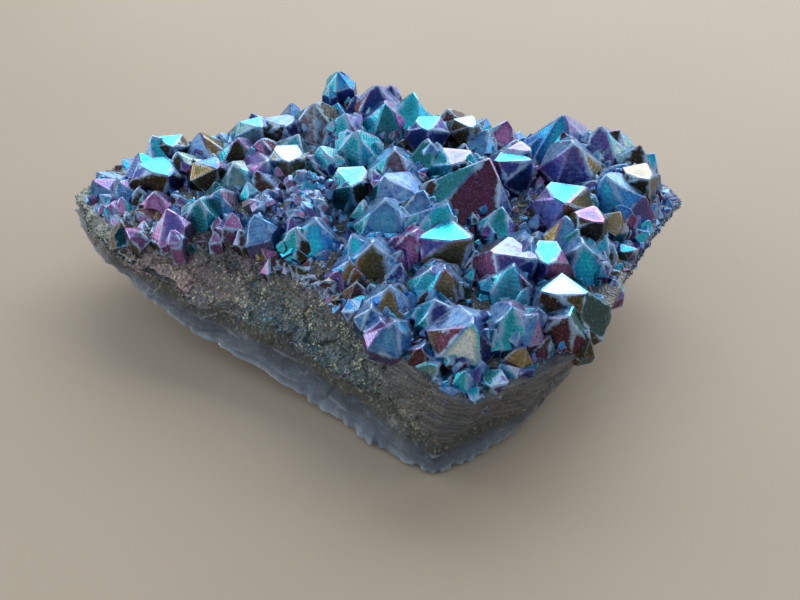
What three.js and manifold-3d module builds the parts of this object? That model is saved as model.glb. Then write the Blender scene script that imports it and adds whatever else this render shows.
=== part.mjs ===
// Titanium-coated quartz druse, an "aura" cluster: one broken piece of geode wall.
// A slate-blue chalcedony base with a chipped lower edge, a grainy quartz crust on the
// broken sides, and a field of six-sided quartz points on top. It all grew together,
// so it is one solid. Millimetres, +Z up, resting on a flat cut of the base. The origin
// is at the centre of the bounding box, on the rest plane.
import * as THREE from 'three';
import { ConvexGeometry } from 'three/addons/geometries/ConvexGeometry.js';
import { mergeVertices } from 'three/addons/utils/BufferGeometryUtils.js';
import Module from 'manifold-3d';

const DEG = Math.PI / 180;

// Quartz: the tip faces slope 51.8 degrees, and the prism widens a little downwards.
const TIP_SLOPE = 51.8 * DEG;
const PRISM_FLARE = 4 * DEG;
// How far the six prism faces differ, as a share of the half width.
const SIDE_SPREAD = 0.3;
// The three minor tip faces start lower than the major ones, as a share of the width.
const MINOR_STEP = 0.01;
const MINOR_SPREAD = 0.09;
// Every point is rooted inside the rock, at this height.
const ROOT_HEIGHT = 15.5;
const SHORTEST_ROOT = 1.5;

// The rock, as stations that go counter-clockwise from the left tip. Each row holds
// the rim of the crystal field, the seam where crust meets chalcedony, the chipped
// lower edge, and the flat cut that it rests on (x and y alone, at height 0).
const STATIONS = [
  { rim: [-57.5, 30, 16.5], seam: [-57, 29, 14.5], edge: [-59.5, 32.5, 12], foot: [-24.5, 21.5] },
  { rim: [-53, 23.5, 16], seam: [-54.5, 23, 13], edge: [-57.5, 28.5, 11], foot: [-25, 19] },
  { rim: [-45, 17, 16], seam: [-47.5, 16, 11.5], edge: [-53, 22, 9], foot: [-25, 15] },
  { rim: [-37.5, 14.5, 16.5], seam: [-41.5, 12, 11], edge: [-44, 13.5, 7], foot: [-24, 11] },
  { rim: [-30, 13.5, 17], seam: [-34.5, 6.5, 10], edge: [-36.5, 7.5, 5], foot: [-21, 6] },
  { rim: [-23.5, 11.5, 16.5], seam: [-28.5, 4, 10], edge: [-29.5, 3, 4], foot: [-17, 1] },
  { rim: [-15.5, 5.5, 16.5], seam: [-20.5, -1, 10], edge: [-22, -2.5, 3], foot: [-13, -3.5] },
  { rim: [-9.5, -2, 16.5], seam: [-13, -6, 9], edge: [-14, -8, 1.5], foot: [-10, -7] },
  { rim: [-4.5, -7, 17], seam: [-6.5, -12, 8.5], edge: [-8, -12.5, 0.8], foot: [-6, -11.5] },
  { rim: [1, -13.5, 17], seam: [0, -16.5, 8.5], edge: [-2.5, -18, 0.6], foot: [-1.5, -16.5] },
  { rim: [6, -19.5, 16], seam: [4, -20.5, 7], edge: [2.5, -21.5, 0.6], foot: [3.5, -20] },
  { rim: [9.5, -23, 15], seam: [8, -23.5, 5], edge: [7, -24.5, 0.6], foot: [7.5, -23] },
  { rim: [13, -24, 14.5], seam: [11.5, -22.5, 6.5], edge: [11, -23, 0.6], foot: [10, -22] },
  { rim: [18, -21.5, 15.5], seam: [16, -20, 8], edge: [16.5, -19.5, 0.6], foot: [15, -18.5] },
  { rim: [24, -18, 16], seam: [21.5, -18.5, 9], edge: [22, -15.5, 0.8], foot: [20, -14.5] },
  { rim: [30, -14, 16.5], seam: [26.5, -15, 11], edge: [26, -10, 2], foot: [23, -9.5] },
  { rim: [33.5, -8.5, 17], seam: [31, -10, 12.5], edge: [31, -4.5, 4], foot: [25.5, -4.5] },
  { rim: [38, 0.5, 17], seam: [34.5, -4, 14], edge: [35.5, 1, 7], foot: [27, 1] },
  { rim: [44, 13.5, 16.5], seam: [40.5, 7, 14], edge: [40, 8.5, 9], foot: [28, 8] },
  { rim: [50.5, 22.5, 16.5], seam: [48, 19, 15], edge: [47, 20.5, 12], foot: [28, 14] },
  { rim: [54, 28.5, 16.5], seam: [53, 28, 15], edge: [52.5, 28.5, 13], foot: [27, 19] },
  { rim: [51, 37, 17.5], seam: [49, 36, 13.5], edge: [44.5, 33.5, 10], foot: [25, 24] },
  { rim: [43.5, 43.5, 18], seam: [41.5, 42, 12.5], edge: [37, 38, 8], foot: [21, 28] },
  { rim: [33, 47, 18], seam: [31.5, 45, 11.5], edge: [28, 40.5, 6], foot: [16, 31] },
  { rim: [22.5, 52, 18], seam: [21.5, 50, 11], edge: [18, 44.5, 5], foot: [10, 33] },
  { rim: [11, 57.5, 18], seam: [10, 55.5, 11], edge: [8, 48.5, 4], foot: [4, 34.5] },
  { rim: [-2, 62, 18.5], seam: [-2.5, 59.5, 11], edge: [-4, 51.5, 4], foot: [-3, 35] },
  { rim: [-13.5, 63, 18.5], seam: [-13.5, 60.5, 11], edge: [-13.5, 52, 4], foot: [-9, 34] },
  { rim: [-23.5, 56, 18], seam: [-23.5, 54, 11], edge: [-22, 48, 5], foot: [-14, 32] },
  { rim: [-34, 51, 17.5], seam: [-34, 49, 11.5], edge: [-32, 44, 6], foot: [-18, 29.5] },
  { rim: [-45, 46, 17], seam: [-45, 44.5, 12], edge: [-43, 41, 8], foot: [-21, 27] },
  { rim: [-54.5, 38.5, 16.5], seam: [-55, 38, 14.5], edge: [-55, 37.5, 11], foot: [-23, 24.5] },
];
// Columns between two stations, and how rough the broken faces are.
const COLUMNS_PER_STATION = 2;
const CRUST_ROUGHNESS = 1.1;
const BASE_ROUGHNESS = 0.7;
const LEDGE = 0.7;
// The field domes up from its rim to this height above this centre.
const DOME_HEIGHT = 20;
const DOME_CENTRE = [0, 15];
const DOME_RINGS = [0.6];

// The main quartz points: where the tip is (x, y, z), the width across the prism,
// the way it leans and how far, and its turn about its own axis, in degrees.
const POINTS = [
  // Left end
  [-54.5, 31, 19.5, 6.5, 210, 30, 0],
  [-50, 24.5, 18.5, 5.5, 240, 25, 10],
  [-45, 27, 20.5, 6, 260, 15, 30],
  [-55, 35.5, 18.5, 5.5, 180, 35, 20],
  [-39.5, 27.5, 22.5, 10.5, 300, 45, 110],
  [-49, 29, 20.5, 6, 200, 22, 10],
  [-50, 31, 20, 6, 240, 20, 30],
  [-41.5, 24, 21.5, 9.5, 270, 12, 30],
  [-32.5, 19, 23, 6.5, 270, 18, 10],
  [-29.5, 22, 23, 7.5, 260, 15, 0],
  [-40.5, 38, 22.5, 7, 280, 50, 100],
  [-39, 34.5, 23.5, 6.5, 215, 15, 30],
  [-30.5, 27.5, 24, 6.5, 300, 45, 0],
  [-36, 42, 23.5, 9.5, 170, 15, 15],
  [-28, 37.5, 24.5, 10, 270, 18, 20],
  [-24, 42, 24.5, 7.5, 300, 45, 0],
  [-19.5, 42.5, 24.5, 9, 290, 40, 110],
  [-27.5, 27.5, 25, 10, 255, 20, 45],
  [-21.5, 28.5, 25, 11, 300, 30, 20],
  [-23.5, 37.5, 24.5, 6, 250, 15, 0],
  [-17.5, 28, 25, 7.5, 275, 50, 95],
  [-23.5, 27, 24, 6.5, 200, 20, 45],
  // Back
  [-16.5, 38.5, 25, 9.5, 0, 20, 0],
  [-14, 47, 27, 10, 270, 15, 0],
  [-10, 58.5, 28, 5.5, 270, 14, 55],
  [-2, 54.5, 27, 9, 270, 20, 20],
  [-0.5, 47, 27, 12, 265, 18, 30],
  [5, 52, 27, 9.5, 60, 15, 10],
  [7.5, 36, 27, 7.5, 270, 50, 90],
  [-8, 44.5, 26, 6, 270, 20, 0],
  [-5.5, 36, 27, 9, 270, 20, 0],
  [-12.5, 34, 25, 5.5, 180, 20, 0],
  [-14.5, 31, 24.5, 5.5, 270, 25, 30],
  [-6, 19, 25.5, 8, 275, 50, 95],
  [1.5, 27.5, 28, 10, 270, 15, 30],
  [8, 31.5, 27, 7.5, 265, 12, 25],
  [11.5, 24.5, 26.5, 9, 260, 50, 80],
  [7.5, 33.5, 27, 8, 90, 15, 0],
  [15, 28, 27, 7, 90, 10, 30],
  [16, 39, 26, 5.5, 290, 50, 110],
  [11.5, 48.5, 25, 7, 200, 20, 10],
  [19, 40.5, 25, 7, 40, 18, 0],
  [23, 44, 25, 7.5, 30, 20, 30],
  [24, 35, 26, 10, 60, 22, 20],
  [26, 29.5, 26.5, 6, 315, 46, 15],
  [26, 27, 26, 7, 335, 46, 35],
  // Right end
  [33, 40.5, 28, 12, 250, 14, 10],
  [33.5, 30, 28, 11, 265, 20, 35],
  [30, 13.5, 25.5, 11, 262, 44, 78],
  [39.5, 38, 27, 9.5, 200, 12, 10],
  [43.5, 38.5, 26, 7.5, 0, 20, 0],
  [46.5, 33.5, 25.5, 7, 330, 12, 20],
  [46, 22, 25, 8, 290, 46, 110],
  [49.5, 34, 23.5, 6, 0, 25, 0],
  [38, 22, 26, 11.5, 200, 26, 10],
  [40, 15, 23, 5, 320, 20, 0],
  [50, 30, 21.5, 8, 350, 30, 20],
  [51, 27, 16, 5.5, 340, 50, 0],
  [43.5, 21.5, 21.5, 7, 300, 20, 0],
  [44.5, 18.5, 20, 5.5, 330, 30, 0],
  [42.5, 18, 21, 7, 320, 28, 0],
  [38, 8, 21, 6.5, 320, 25, 20],
  [48.5, 23, 19.5, 6, 330, 35, 0],
  // Middle
  [18, 23, 29, 15.5, 5, 18, 15],
  [6.5, 17.5, 26, 9, 60, 20, 10],
  [10.5, 13, 26, 9, 340, 22, 20],
  [-0.5, 20, 27, 10, 230, 25, 20],
  [0, 13, 27, 13, 270, 14, 30],
  [3, 16, 24.5, 5.5, 300, 10, 0],
  [-5.5, 6.5, 24, 6, 200, 20, 30],
  [-2, 3, 25, 11, 270, 20, 30],
  [-11.5, 10.5, 24.5, 9, 300, 18, 30],
  [-15, 9.5, 23.5, 7, 250, 20, 0],
  [-10.5, 7.5, 20, 6, 270, 25, 0],
  [-7.5, 1.5, 20.5, 6, 270, 20, 0],
  [-4.5, -1.5, 20.5, 6, 270, 15, 30],
  [4.5, 6, 25, 7.5, 270, 20, 0],
  [14, 4, 25, 11.5, 315, 41, 15],
  [24, -1.5, 25, 8, 320, 48, 20],
  [7, -3, 24, 6.5, 250, 20, 10],
  [9.5, -3.5, 24.5, 8, 290, 22, 30],
  [1, -6.5, 23.5, 6.5, 290, 15, 30],
  [20, -3.5, 25, 8.5, 270, 18, 15],
  [23.5, -10, 25, 9, 215, 42, 35],
  [25.5, -2.5, 24.5, 7.5, 265, 50, 85],
  [30, 11, 25, 11, 90, 5, 30],
  [36, 8.5, 25, 6.5, 300, 48, 0],
  [32, 3.5, 24.5, 9, 270, 20, 30],
  [36.5, 4.5, 20, 7.5, 300, 20, 0],
  // Front
  [12, -22, 15.5, 4.5, 290, 30, 0],
  [5.5, -17, 20, 5, 250, 25, 0],
  [34.5, -5, 20, 6, 320, 25, 30],
  [-2, -9.5, 21.5, 5, 270, 22, 30],
  [-0.5, -12, 21, 5, 270, 22, 30],
  [1.5, -13.5, 22, 8, 280, 18, 15],
  [13, -17, 24.5, 9.5, 290, 30, 20],
  [19, -13.5, 25, 8.5, 265, 17, 40],
  [23, -13.5, 23.5, 7, 330, 25, 0],
  [27.5, -14, 23.5, 8.5, 275, 34, 5],
  [9.5, -16.5, 20.5, 7.5, 270, 15, 30],
  [8, -19.5, 18.5, 5.5, 280, 38, 100],
  [12, -20.5, 18.5, 4.5, 280, 20, 10],
  [21, -17, 20, 6, 300, 20, 0],
  [25, -14.5, 20, 6, 310, 25, 10],
  [31, -13, 20, 5.5, 330, 25, 0],
];

// Smaller points fill what the main ones leave bare, spread by two irrational steps.
const FILLER_TRIES = 700;
const FILLER_STEP = [0.7548776662, 0.5698402910];
const FIELD_CORNER = [-58, -25];
const FIELD_SIZE = [114, 83];
const FILLER_WIDTH = [6, 8];
const FILLER_COVER = 0.35;
const FILLER_LEAN = [6, 30];
const FILLER_REACH = 0.94;

// A repeatable value from 0 to 1 for two whole numbers.
function hash01(a, b) {
  const wave = Math.sin(a * 127.1 + b * 311.7) * 43758.5453;
  return wave - Math.floor(wave);
}

function mix(a, b, share) {
  return a + (b - a) * share;
}

// The rim's distance from the dome's centre and its height, in the direction of x, y.
function rimTowards(x, y) {
  const turnOf = (px, py) => Math.atan2(py - DOME_CENTRE[1], px - DOME_CENTRE[0]);
  const angle = turnOf(x, y);
  for (let k = 0; k < STATIONS.length; k += 1) {
    const [ax, ay, az] = STATIONS[k].rim;
    const [bx, by, bz] = STATIONS[(k + 1) % STATIONS.length].rim;
    const wrap = (turn) => turn - 2 * Math.PI * Math.floor(turn / (2 * Math.PI));
    const width = wrap(turnOf(bx, by) - turnOf(ax, ay));
    const step = wrap(angle - turnOf(ax, ay));
    if (step < width) {
      const share = step / width;
      const reach = mix(
        Math.hypot(ax - DOME_CENTRE[0], ay - DOME_CENTRE[1]),
        Math.hypot(bx - DOME_CENTRE[0], by - DOME_CENTRE[1]),
        share,
      );
      return { reach, height: mix(az, bz, share) };
    }
  }
  return { reach: 1, height: DOME_HEIGHT };
}

// The field's own surface: its height, and how far out x, y is, from 0 to 1 at the rim.
function fieldAt(x, y) {
  const rim = rimTowards(x, y);
  const share = Math.hypot(x - DOME_CENTRE[0], y - DOME_CENTRE[1]) / rim.reach;
  return { share, height: mix(DOME_HEIGHT, rim.height, share * share) };
}

// A closed solid from a geometry that holds positions alone.
function solidOf(wasm, geometry) {
  geometry.deleteAttribute('normal');
  geometry.deleteAttribute('uv');
  const merged = mergeVertices(geometry, 1e-4);
  return new wasm.Manifold(new wasm.Mesh({
    numProp: 3,
    vertProperties: new Float32Array(merged.attributes.position.array),
    triVerts: new Uint32Array(merged.index.array),
  }));
}

// One quartz point: six flared prism faces, three major and three minor tip faces and
// a flat root. Its corners are where three of these planes meet inside all the others.
function quartzPoint(row, seed) {
  const [x, y, z, width, leanAzimuth, lean, turn] = row;
  const tipHeight = 0.5 * width * Math.tan(TIP_SLOPE);
  const rooted = (z - ROOT_HEIGHT) / Math.cos(lean * DEG);
  const length = Math.max(rooted, tipHeight + SHORTEST_ROOT);
  const planes = [new THREE.Plane(new THREE.Vector3(0, 0, -1), -length)];
  for (let side = 0; side < 6; side += 1) {
    const azimuth = (turn + 60 * side) * DEG;
    const reach = 0.5 * width * (1 + SIDE_SPREAD * (hash01(seed, side) - 0.5));
    const prism = new THREE.Vector3(
      Math.cos(azimuth) * Math.cos(PRISM_FLARE),
      Math.sin(azimuth) * Math.cos(PRISM_FLARE),
      Math.sin(PRISM_FLARE),
    );
    const shoulder = reach * Math.cos(PRISM_FLARE) - tipHeight * Math.sin(PRISM_FLARE);
    planes.push(new THREE.Plane(prism, -shoulder));
    const tipFace = new THREE.Vector3(
      Math.cos(azimuth) * Math.sin(TIP_SLOPE),
      Math.sin(azimuth) * Math.sin(TIP_SLOPE),
      Math.cos(TIP_SLOPE),
    );
    const minor = width * (MINOR_STEP + MINOR_SPREAD * hash01(seed, side + 6));
    planes.push(new THREE.Plane(tipFace, side % 2 === 0 ? 0 : -minor));
  }
  const corners = new Map();
  const corner = new THREE.Vector3();
  const normals = new THREE.Matrix3();
  for (let i = 0; i < planes.length; i += 1) {
    for (let j = i + 1; j < planes.length; j += 1) {
      for (let k = j + 1; k < planes.length; k += 1) {
        const [a, b, c] = [planes[i], planes[j], planes[k]];
        normals.set(...a.normal.toArray(), ...b.normal.toArray(), ...c.normal.toArray());
        if (Math.abs(normals.determinant()) < 1e-6) continue;
        corner.set(-a.constant, -b.constant, -c.constant).applyMatrix3(normals.invert());
        if (planes.some((plane) => plane.distanceToPoint(corner) > 1e-6)) continue;
        corners.set(corner.toArray().map((value) => value.toFixed(3)).join(), corner.clone());
      }
    }
  }
  const geometry = new ConvexGeometry([...corners.values()]);
  const tiltAxis = new THREE.Vector3(
    -Math.sin(leanAzimuth * DEG),
    Math.cos(leanAzimuth * DEG),
    0,
  );
  geometry.applyQuaternion(new THREE.Quaternion().setFromAxisAngle(tiltAxis, lean * DEG));
  geometry.translate(x, y, z);
  return geometry;
}

// The rows of the small points: each takes the gap that it finds, and leans outwards
// more and more towards the rim.
function fillerRows() {
  const rows = [];
  for (let n = 1; n <= FILLER_TRIES; n += 1) {
    const x = FIELD_CORNER[0] + FIELD_SIZE[0] * ((n * FILLER_STEP[0]) % 1);
    const y = FIELD_CORNER[1] + FIELD_SIZE[1] * ((n * FILLER_STEP[1]) % 1);
    const { share, height } = fieldAt(x, y);
    if (share > FILLER_REACH) continue;
    let gap = FILLER_WIDTH[1];
    for (const [px, py, , width] of [...POINTS, ...rows]) {
      gap = Math.min(gap, Math.hypot(x - px, y - py) - FILLER_COVER * width);
    }
    if (gap < 0.5 * FILLER_WIDTH[0]) continue;
    const width = Math.min(2.4 * gap, mix(...FILLER_WIDTH, 0.4 + 0.6 * hash01(n, 1)));
    const outward = Math.atan2(y - DOME_CENTRE[1], x - DOME_CENTRE[0]) / DEG;
    rows.push([
      x,
      y,
      height + width * (0.5 + 0.35 * hash01(n, 2)),
      width,
      outward + 120 * (hash01(n, 3) - 0.5),
      mix(...FILLER_LEAN, share * share * hash01(n, 4)),
      120 * hash01(n, 5),
    ]);
  }
  return rows;
}

// The rock's rings from the flat cut up over the edge, the seam's ledge and the crust
// to the rim, then the dome. Columns between the stations are broken a little.
function rockGeometry() {
  const columns = STATIONS.length * COLUMNS_PER_STATION;
  const levels = [
    { from: 'foot', to: 'foot', share: 0, rough: 0, step: 0 },
    { from: 'edge', to: 'edge', share: 0, rough: BASE_ROUGHNESS, step: 0 },
    { from: 'edge', to: 'seam', share: 0.5, rough: BASE_ROUGHNESS, step: -0.3 * LEDGE },
    { from: 'edge', to: 'seam', share: 0.96, rough: BASE_ROUGHNESS, step: -LEDGE },
    { from: 'seam', to: 'rim', share: 0.04, rough: CRUST_ROUGHNESS, step: 0 },
    { from: 'seam', to: 'rim', share: 0.5, rough: CRUST_ROUGHNESS, step: 0 },
    { from: 'rim', to: 'rim', share: 0, rough: BASE_ROUGHNESS, step: 0 },
  ];
  const positions = [];
  levels.forEach((level, row) => {
    for (let column = 0; column < columns; column += 1) {
      const a = STATIONS[Math.floor(column / COLUMNS_PER_STATION)];
      const b = STATIONS[Math.ceil((column + 1) / COLUMNS_PER_STATION) % STATIONS.length];
      const along = (column % COLUMNS_PER_STATION) / COLUMNS_PER_STATION;
      const point = [0, 1, 2].map((axis) => mix(
        mix(a[level.from][axis] ?? 0, a[level.to][axis] ?? 0, level.share),
        mix(b[level.from][axis] ?? 0, b[level.to][axis] ?? 0, level.share),
        along,
      ));
      const outward = new THREE.Vector2(point[0] - DOME_CENTRE[0], point[1] - DOME_CENTRE[1]);
      outward.normalize().multiplyScalar(level.rough * (hash01(column, row) - 0.5) + level.step);
      const lift = 0.6 * level.rough * (hash01(column, row + 20) - 0.5);
      positions.push(point[0] + outward.x, point[1] + outward.y, point[2] + lift);
    }
  });
  for (const share of DOME_RINGS) {
    for (let column = 0; column < columns; column += 1) {
      const start = 3 * ((levels.length - 1) * columns + column);
      const x = mix(DOME_CENTRE[0], positions[start], share);
      const y = mix(DOME_CENTRE[1], positions[start + 1], share);
      positions.push(x, y, fieldAt(x, y).height);
    }
  }
  const index = [];
  const rings = levels.length + DOME_RINGS.length;
  for (let row = 0; row + 1 < rings; row += 1) {
    for (let column = 0; column < columns; column += 1) {
      const next = (column + 1) % columns;
      const [a, b] = [row * columns + column, row * columns + next];
      index.push(a, b, b + columns, a, b + columns, a + columns);
    }
  }
  const bottom = positions.length / 3;
  positions.push(3, 8, 0, ...DOME_CENTRE, DOME_HEIGHT);
  for (let column = 0; column < columns; column += 1) {
    const next = (column + 1) % columns;
    const last = (rings - 1) * columns;
    index.push(bottom, next, column, bottom + 1, last + column, last + next);
  }
  const geometry = new THREE.BufferGeometry();
  geometry.setAttribute('position', new THREE.Float32BufferAttribute(positions, 3));
  geometry.setIndex(index);
  return geometry;
}

// The whole cluster: every point joined with the rock. Only the outer skin is kept.
async function clusterGeometry() {
  const wasm = await Module();
  wasm.setup();
  const solids = [solidOf(wasm, rockGeometry())];
  [...POINTS, ...fillerRows()].forEach((row, seed) => {
    solids.push(solidOf(wasm, quartzPoint(row, seed)));
  });
  const joined = wasm.Manifold.union(solids);
  const skins = joined.decompose();
  skins.sort((a, b) => b.volume() - a.volume());
  const mesh = skins[0].getMesh();
  const geometry = new THREE.BufferGeometry();
  geometry.setAttribute('position', new THREE.BufferAttribute(mesh.vertProperties, 3));
  geometry.setIndex(new THREE.BufferAttribute(mesh.triVerts, 1));
  geometry.computeBoundingBox();
  const { min, max } = geometry.boundingBox;
  geometry.translate(-0.5 * (min.x + max.x), -0.5 * (min.y + max.y), -min.z);
  geometry.computeVertexNormals();
  return geometry;
}

const coatedQuartz = new THREE.MeshStandardMaterial({
  color: 0x3f5566,
  roughness: 0.3,
  metalness: 0.6,
});
const cluster = new THREE.Mesh(await clusterGeometry(), coatedQuartz);
cluster.name = 'cluster';

const druse = new THREE.Group();
druse.name = 'quartz_druse';
druse.add(cluster);

export default druse;
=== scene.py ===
# %% [markdown]
# # A rainbow-coated quartz druse
# The real thing is a hand-sized piece of geode wall. Slate-blue chalcedony lies
# underneath, a grainy quartz crust shows on the broken sides, and a field of six-sided
# quartz points stands on top. The points were coated with a film of titanium a few
# hundred nanometres thick, and the film's thickness decides the colour of each face.
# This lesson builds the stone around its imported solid, which fixes size and place.

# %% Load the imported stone
import itertools
import math

import bpy
import numpy as np
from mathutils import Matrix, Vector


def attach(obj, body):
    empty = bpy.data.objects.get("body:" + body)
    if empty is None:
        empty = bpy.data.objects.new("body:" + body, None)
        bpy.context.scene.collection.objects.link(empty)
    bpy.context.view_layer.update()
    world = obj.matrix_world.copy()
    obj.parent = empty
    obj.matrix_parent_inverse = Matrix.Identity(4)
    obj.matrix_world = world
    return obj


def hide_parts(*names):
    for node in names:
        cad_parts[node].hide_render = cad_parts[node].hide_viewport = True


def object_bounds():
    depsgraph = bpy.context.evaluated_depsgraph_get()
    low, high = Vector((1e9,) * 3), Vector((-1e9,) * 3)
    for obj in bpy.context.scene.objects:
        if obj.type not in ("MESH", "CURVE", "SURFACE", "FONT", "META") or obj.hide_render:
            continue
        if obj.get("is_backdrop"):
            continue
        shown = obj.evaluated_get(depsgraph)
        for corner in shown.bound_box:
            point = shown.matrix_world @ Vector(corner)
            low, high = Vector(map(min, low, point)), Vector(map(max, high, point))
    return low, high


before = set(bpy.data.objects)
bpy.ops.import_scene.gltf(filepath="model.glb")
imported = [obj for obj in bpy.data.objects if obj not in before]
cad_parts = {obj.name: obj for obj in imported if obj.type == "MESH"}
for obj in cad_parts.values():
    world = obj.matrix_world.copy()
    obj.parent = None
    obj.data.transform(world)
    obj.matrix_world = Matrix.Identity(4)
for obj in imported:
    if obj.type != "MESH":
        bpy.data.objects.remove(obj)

packed_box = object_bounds()
MM = 0.001
print("packed box in mm:", [[round(v / MM, 2) for v in corner] for corner in packed_box])

# %% [markdown]
# ## Values shared with the solid
# The solid's source names its driving sizes, and this lesson repeats them, because the
# visible stone must stand exactly where the solid stands. Lengths are in millimetres
# until the last step, when a mesh is scaled to metres.

# %% The stone's driving sizes
TIP_SLOPE = math.radians(51.8)
PRISM_FLARE = math.radians(4)
SIDE_SPREAD = 0.3
MINOR_STEP = 0.01
MINOR_SPREAD = 0.09
ROOT_HEIGHT = 15.5
SHORTEST_ROOT = 1.5
CRUST_ROUGHNESS = 1.1
BASE_ROUGHNESS = 0.7
LEDGE = 0.7
DOME_HEIGHT = 20.0
DOME_CENTRE = np.array([0.0, 15.0])
DOME_RING = 0.6
FILLER_TRIES = 700
FILLER_STEP = np.array([0.7548776662, 0.5698402910])
FIELD_CORNER = np.array([-58.0, -25.0])
FIELD_SIZE = np.array([114.0, 83.0])
FILLER_WIDTH = (6.0, 8.0)
FILLER_COVER = 0.35
FILLER_LEAN = (6.0, 30.0)
FILLER_REACH = 0.94

# Stations round the stone, counter-clockwise from the left tip: the rim of the crystal
# field, the seam of crust and chalcedony, the chipped lower edge, and the flat cut.
STATIONS = np.array([
    (-57.5, 30, 16.5, -57, 29, 14.5, -59.5, 32.5, 12, -24.5, 21.5),
    (-53, 23.5, 16, -54.5, 23, 13, -57.5, 28.5, 11, -25, 19),
    (-45, 17, 16, -47.5, 16, 11.5, -53, 22, 9, -25, 15),
    (-37.5, 14.5, 16.5, -41.5, 12, 11, -44, 13.5, 7, -24, 11),
    (-30, 13.5, 17, -34.5, 6.5, 10, -36.5, 7.5, 5, -21, 6),
    (-23.5, 11.5, 16.5, -28.5, 4, 10, -29.5, 3, 4, -17, 1),
    (-15.5, 5.5, 16.5, -20.5, -1, 10, -22, -2.5, 3, -13, -3.5),
    (-9.5, -2, 16.5, -13, -6, 9, -14, -8, 1.5, -10, -7),
    (-4.5, -7, 17, -6.5, -12, 8.5, -8, -12.5, 0.8, -6, -11.5),
    (1, -13.5, 17, 0, -16.5, 8.5, -2.5, -18, 0.6, -1.5, -16.5),
    (6, -19.5, 16, 4, -20.5, 7, 2.5, -21.5, 0.6, 3.5, -20),
    (9.5, -23, 15, 8, -23.5, 5, 7, -24.5, 0.6, 7.5, -23),
    (13, -24, 14.5, 11.5, -22.5, 6.5, 11, -23, 0.6, 10, -22),
    (18, -21.5, 15.5, 16, -20, 8, 16.5, -19.5, 0.6, 15, -18.5),
    (24, -18, 16, 21.5, -18.5, 9, 22, -15.5, 0.8, 20, -14.5),
    (30, -14, 16.5, 26.5, -15, 11, 26, -10, 2, 23, -9.5),
    (33.5, -8.5, 17, 31, -10, 12.5, 31, -4.5, 4, 25.5, -4.5),
    (38, 0.5, 17, 34.5, -4, 14, 35.5, 1, 7, 27, 1),
    (44, 13.5, 16.5, 40.5, 7, 14, 40, 8.5, 9, 28, 8),
    (50.5, 22.5, 16.5, 48, 19, 15, 47, 20.5, 12, 28, 14),
    (54, 28.5, 16.5, 53, 28, 15, 52.5, 28.5, 13, 27, 19),
    (51, 37, 17.5, 49, 36, 13.5, 44.5, 33.5, 10, 25, 24),
    (43.5, 43.5, 18, 41.5, 42, 12.5, 37, 38, 8, 21, 28),
    (33, 47, 18, 31.5, 45, 11.5, 28, 40.5, 6, 16, 31),
    (22.5, 52, 18, 21.5, 50, 11, 18, 44.5, 5, 10, 33),
    (11, 57.5, 18, 10, 55.5, 11, 8, 48.5, 4, 4, 34.5),
    (-2, 62, 18.5, -2.5, 59.5, 11, -4, 51.5, 4, -3, 35),
    (-13.5, 63, 18.5, -13.5, 60.5, 11, -13.5, 52, 4, -9, 34),
    (-23.5, 56, 18, -23.5, 54, 11, -22, 48, 5, -14, 32),
    (-34, 51, 17.5, -34, 49, 11.5, -32, 44, 6, -18, 29.5),
    (-45, 46, 17, -45, 44.5, 12, -43, 41, 8, -21, 27),
    (-54.5, 38.5, 16.5, -55, 38, 14.5, -55, 37.5, 11, -23, 24.5),
])
print("stations:", len(STATIONS))
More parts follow.
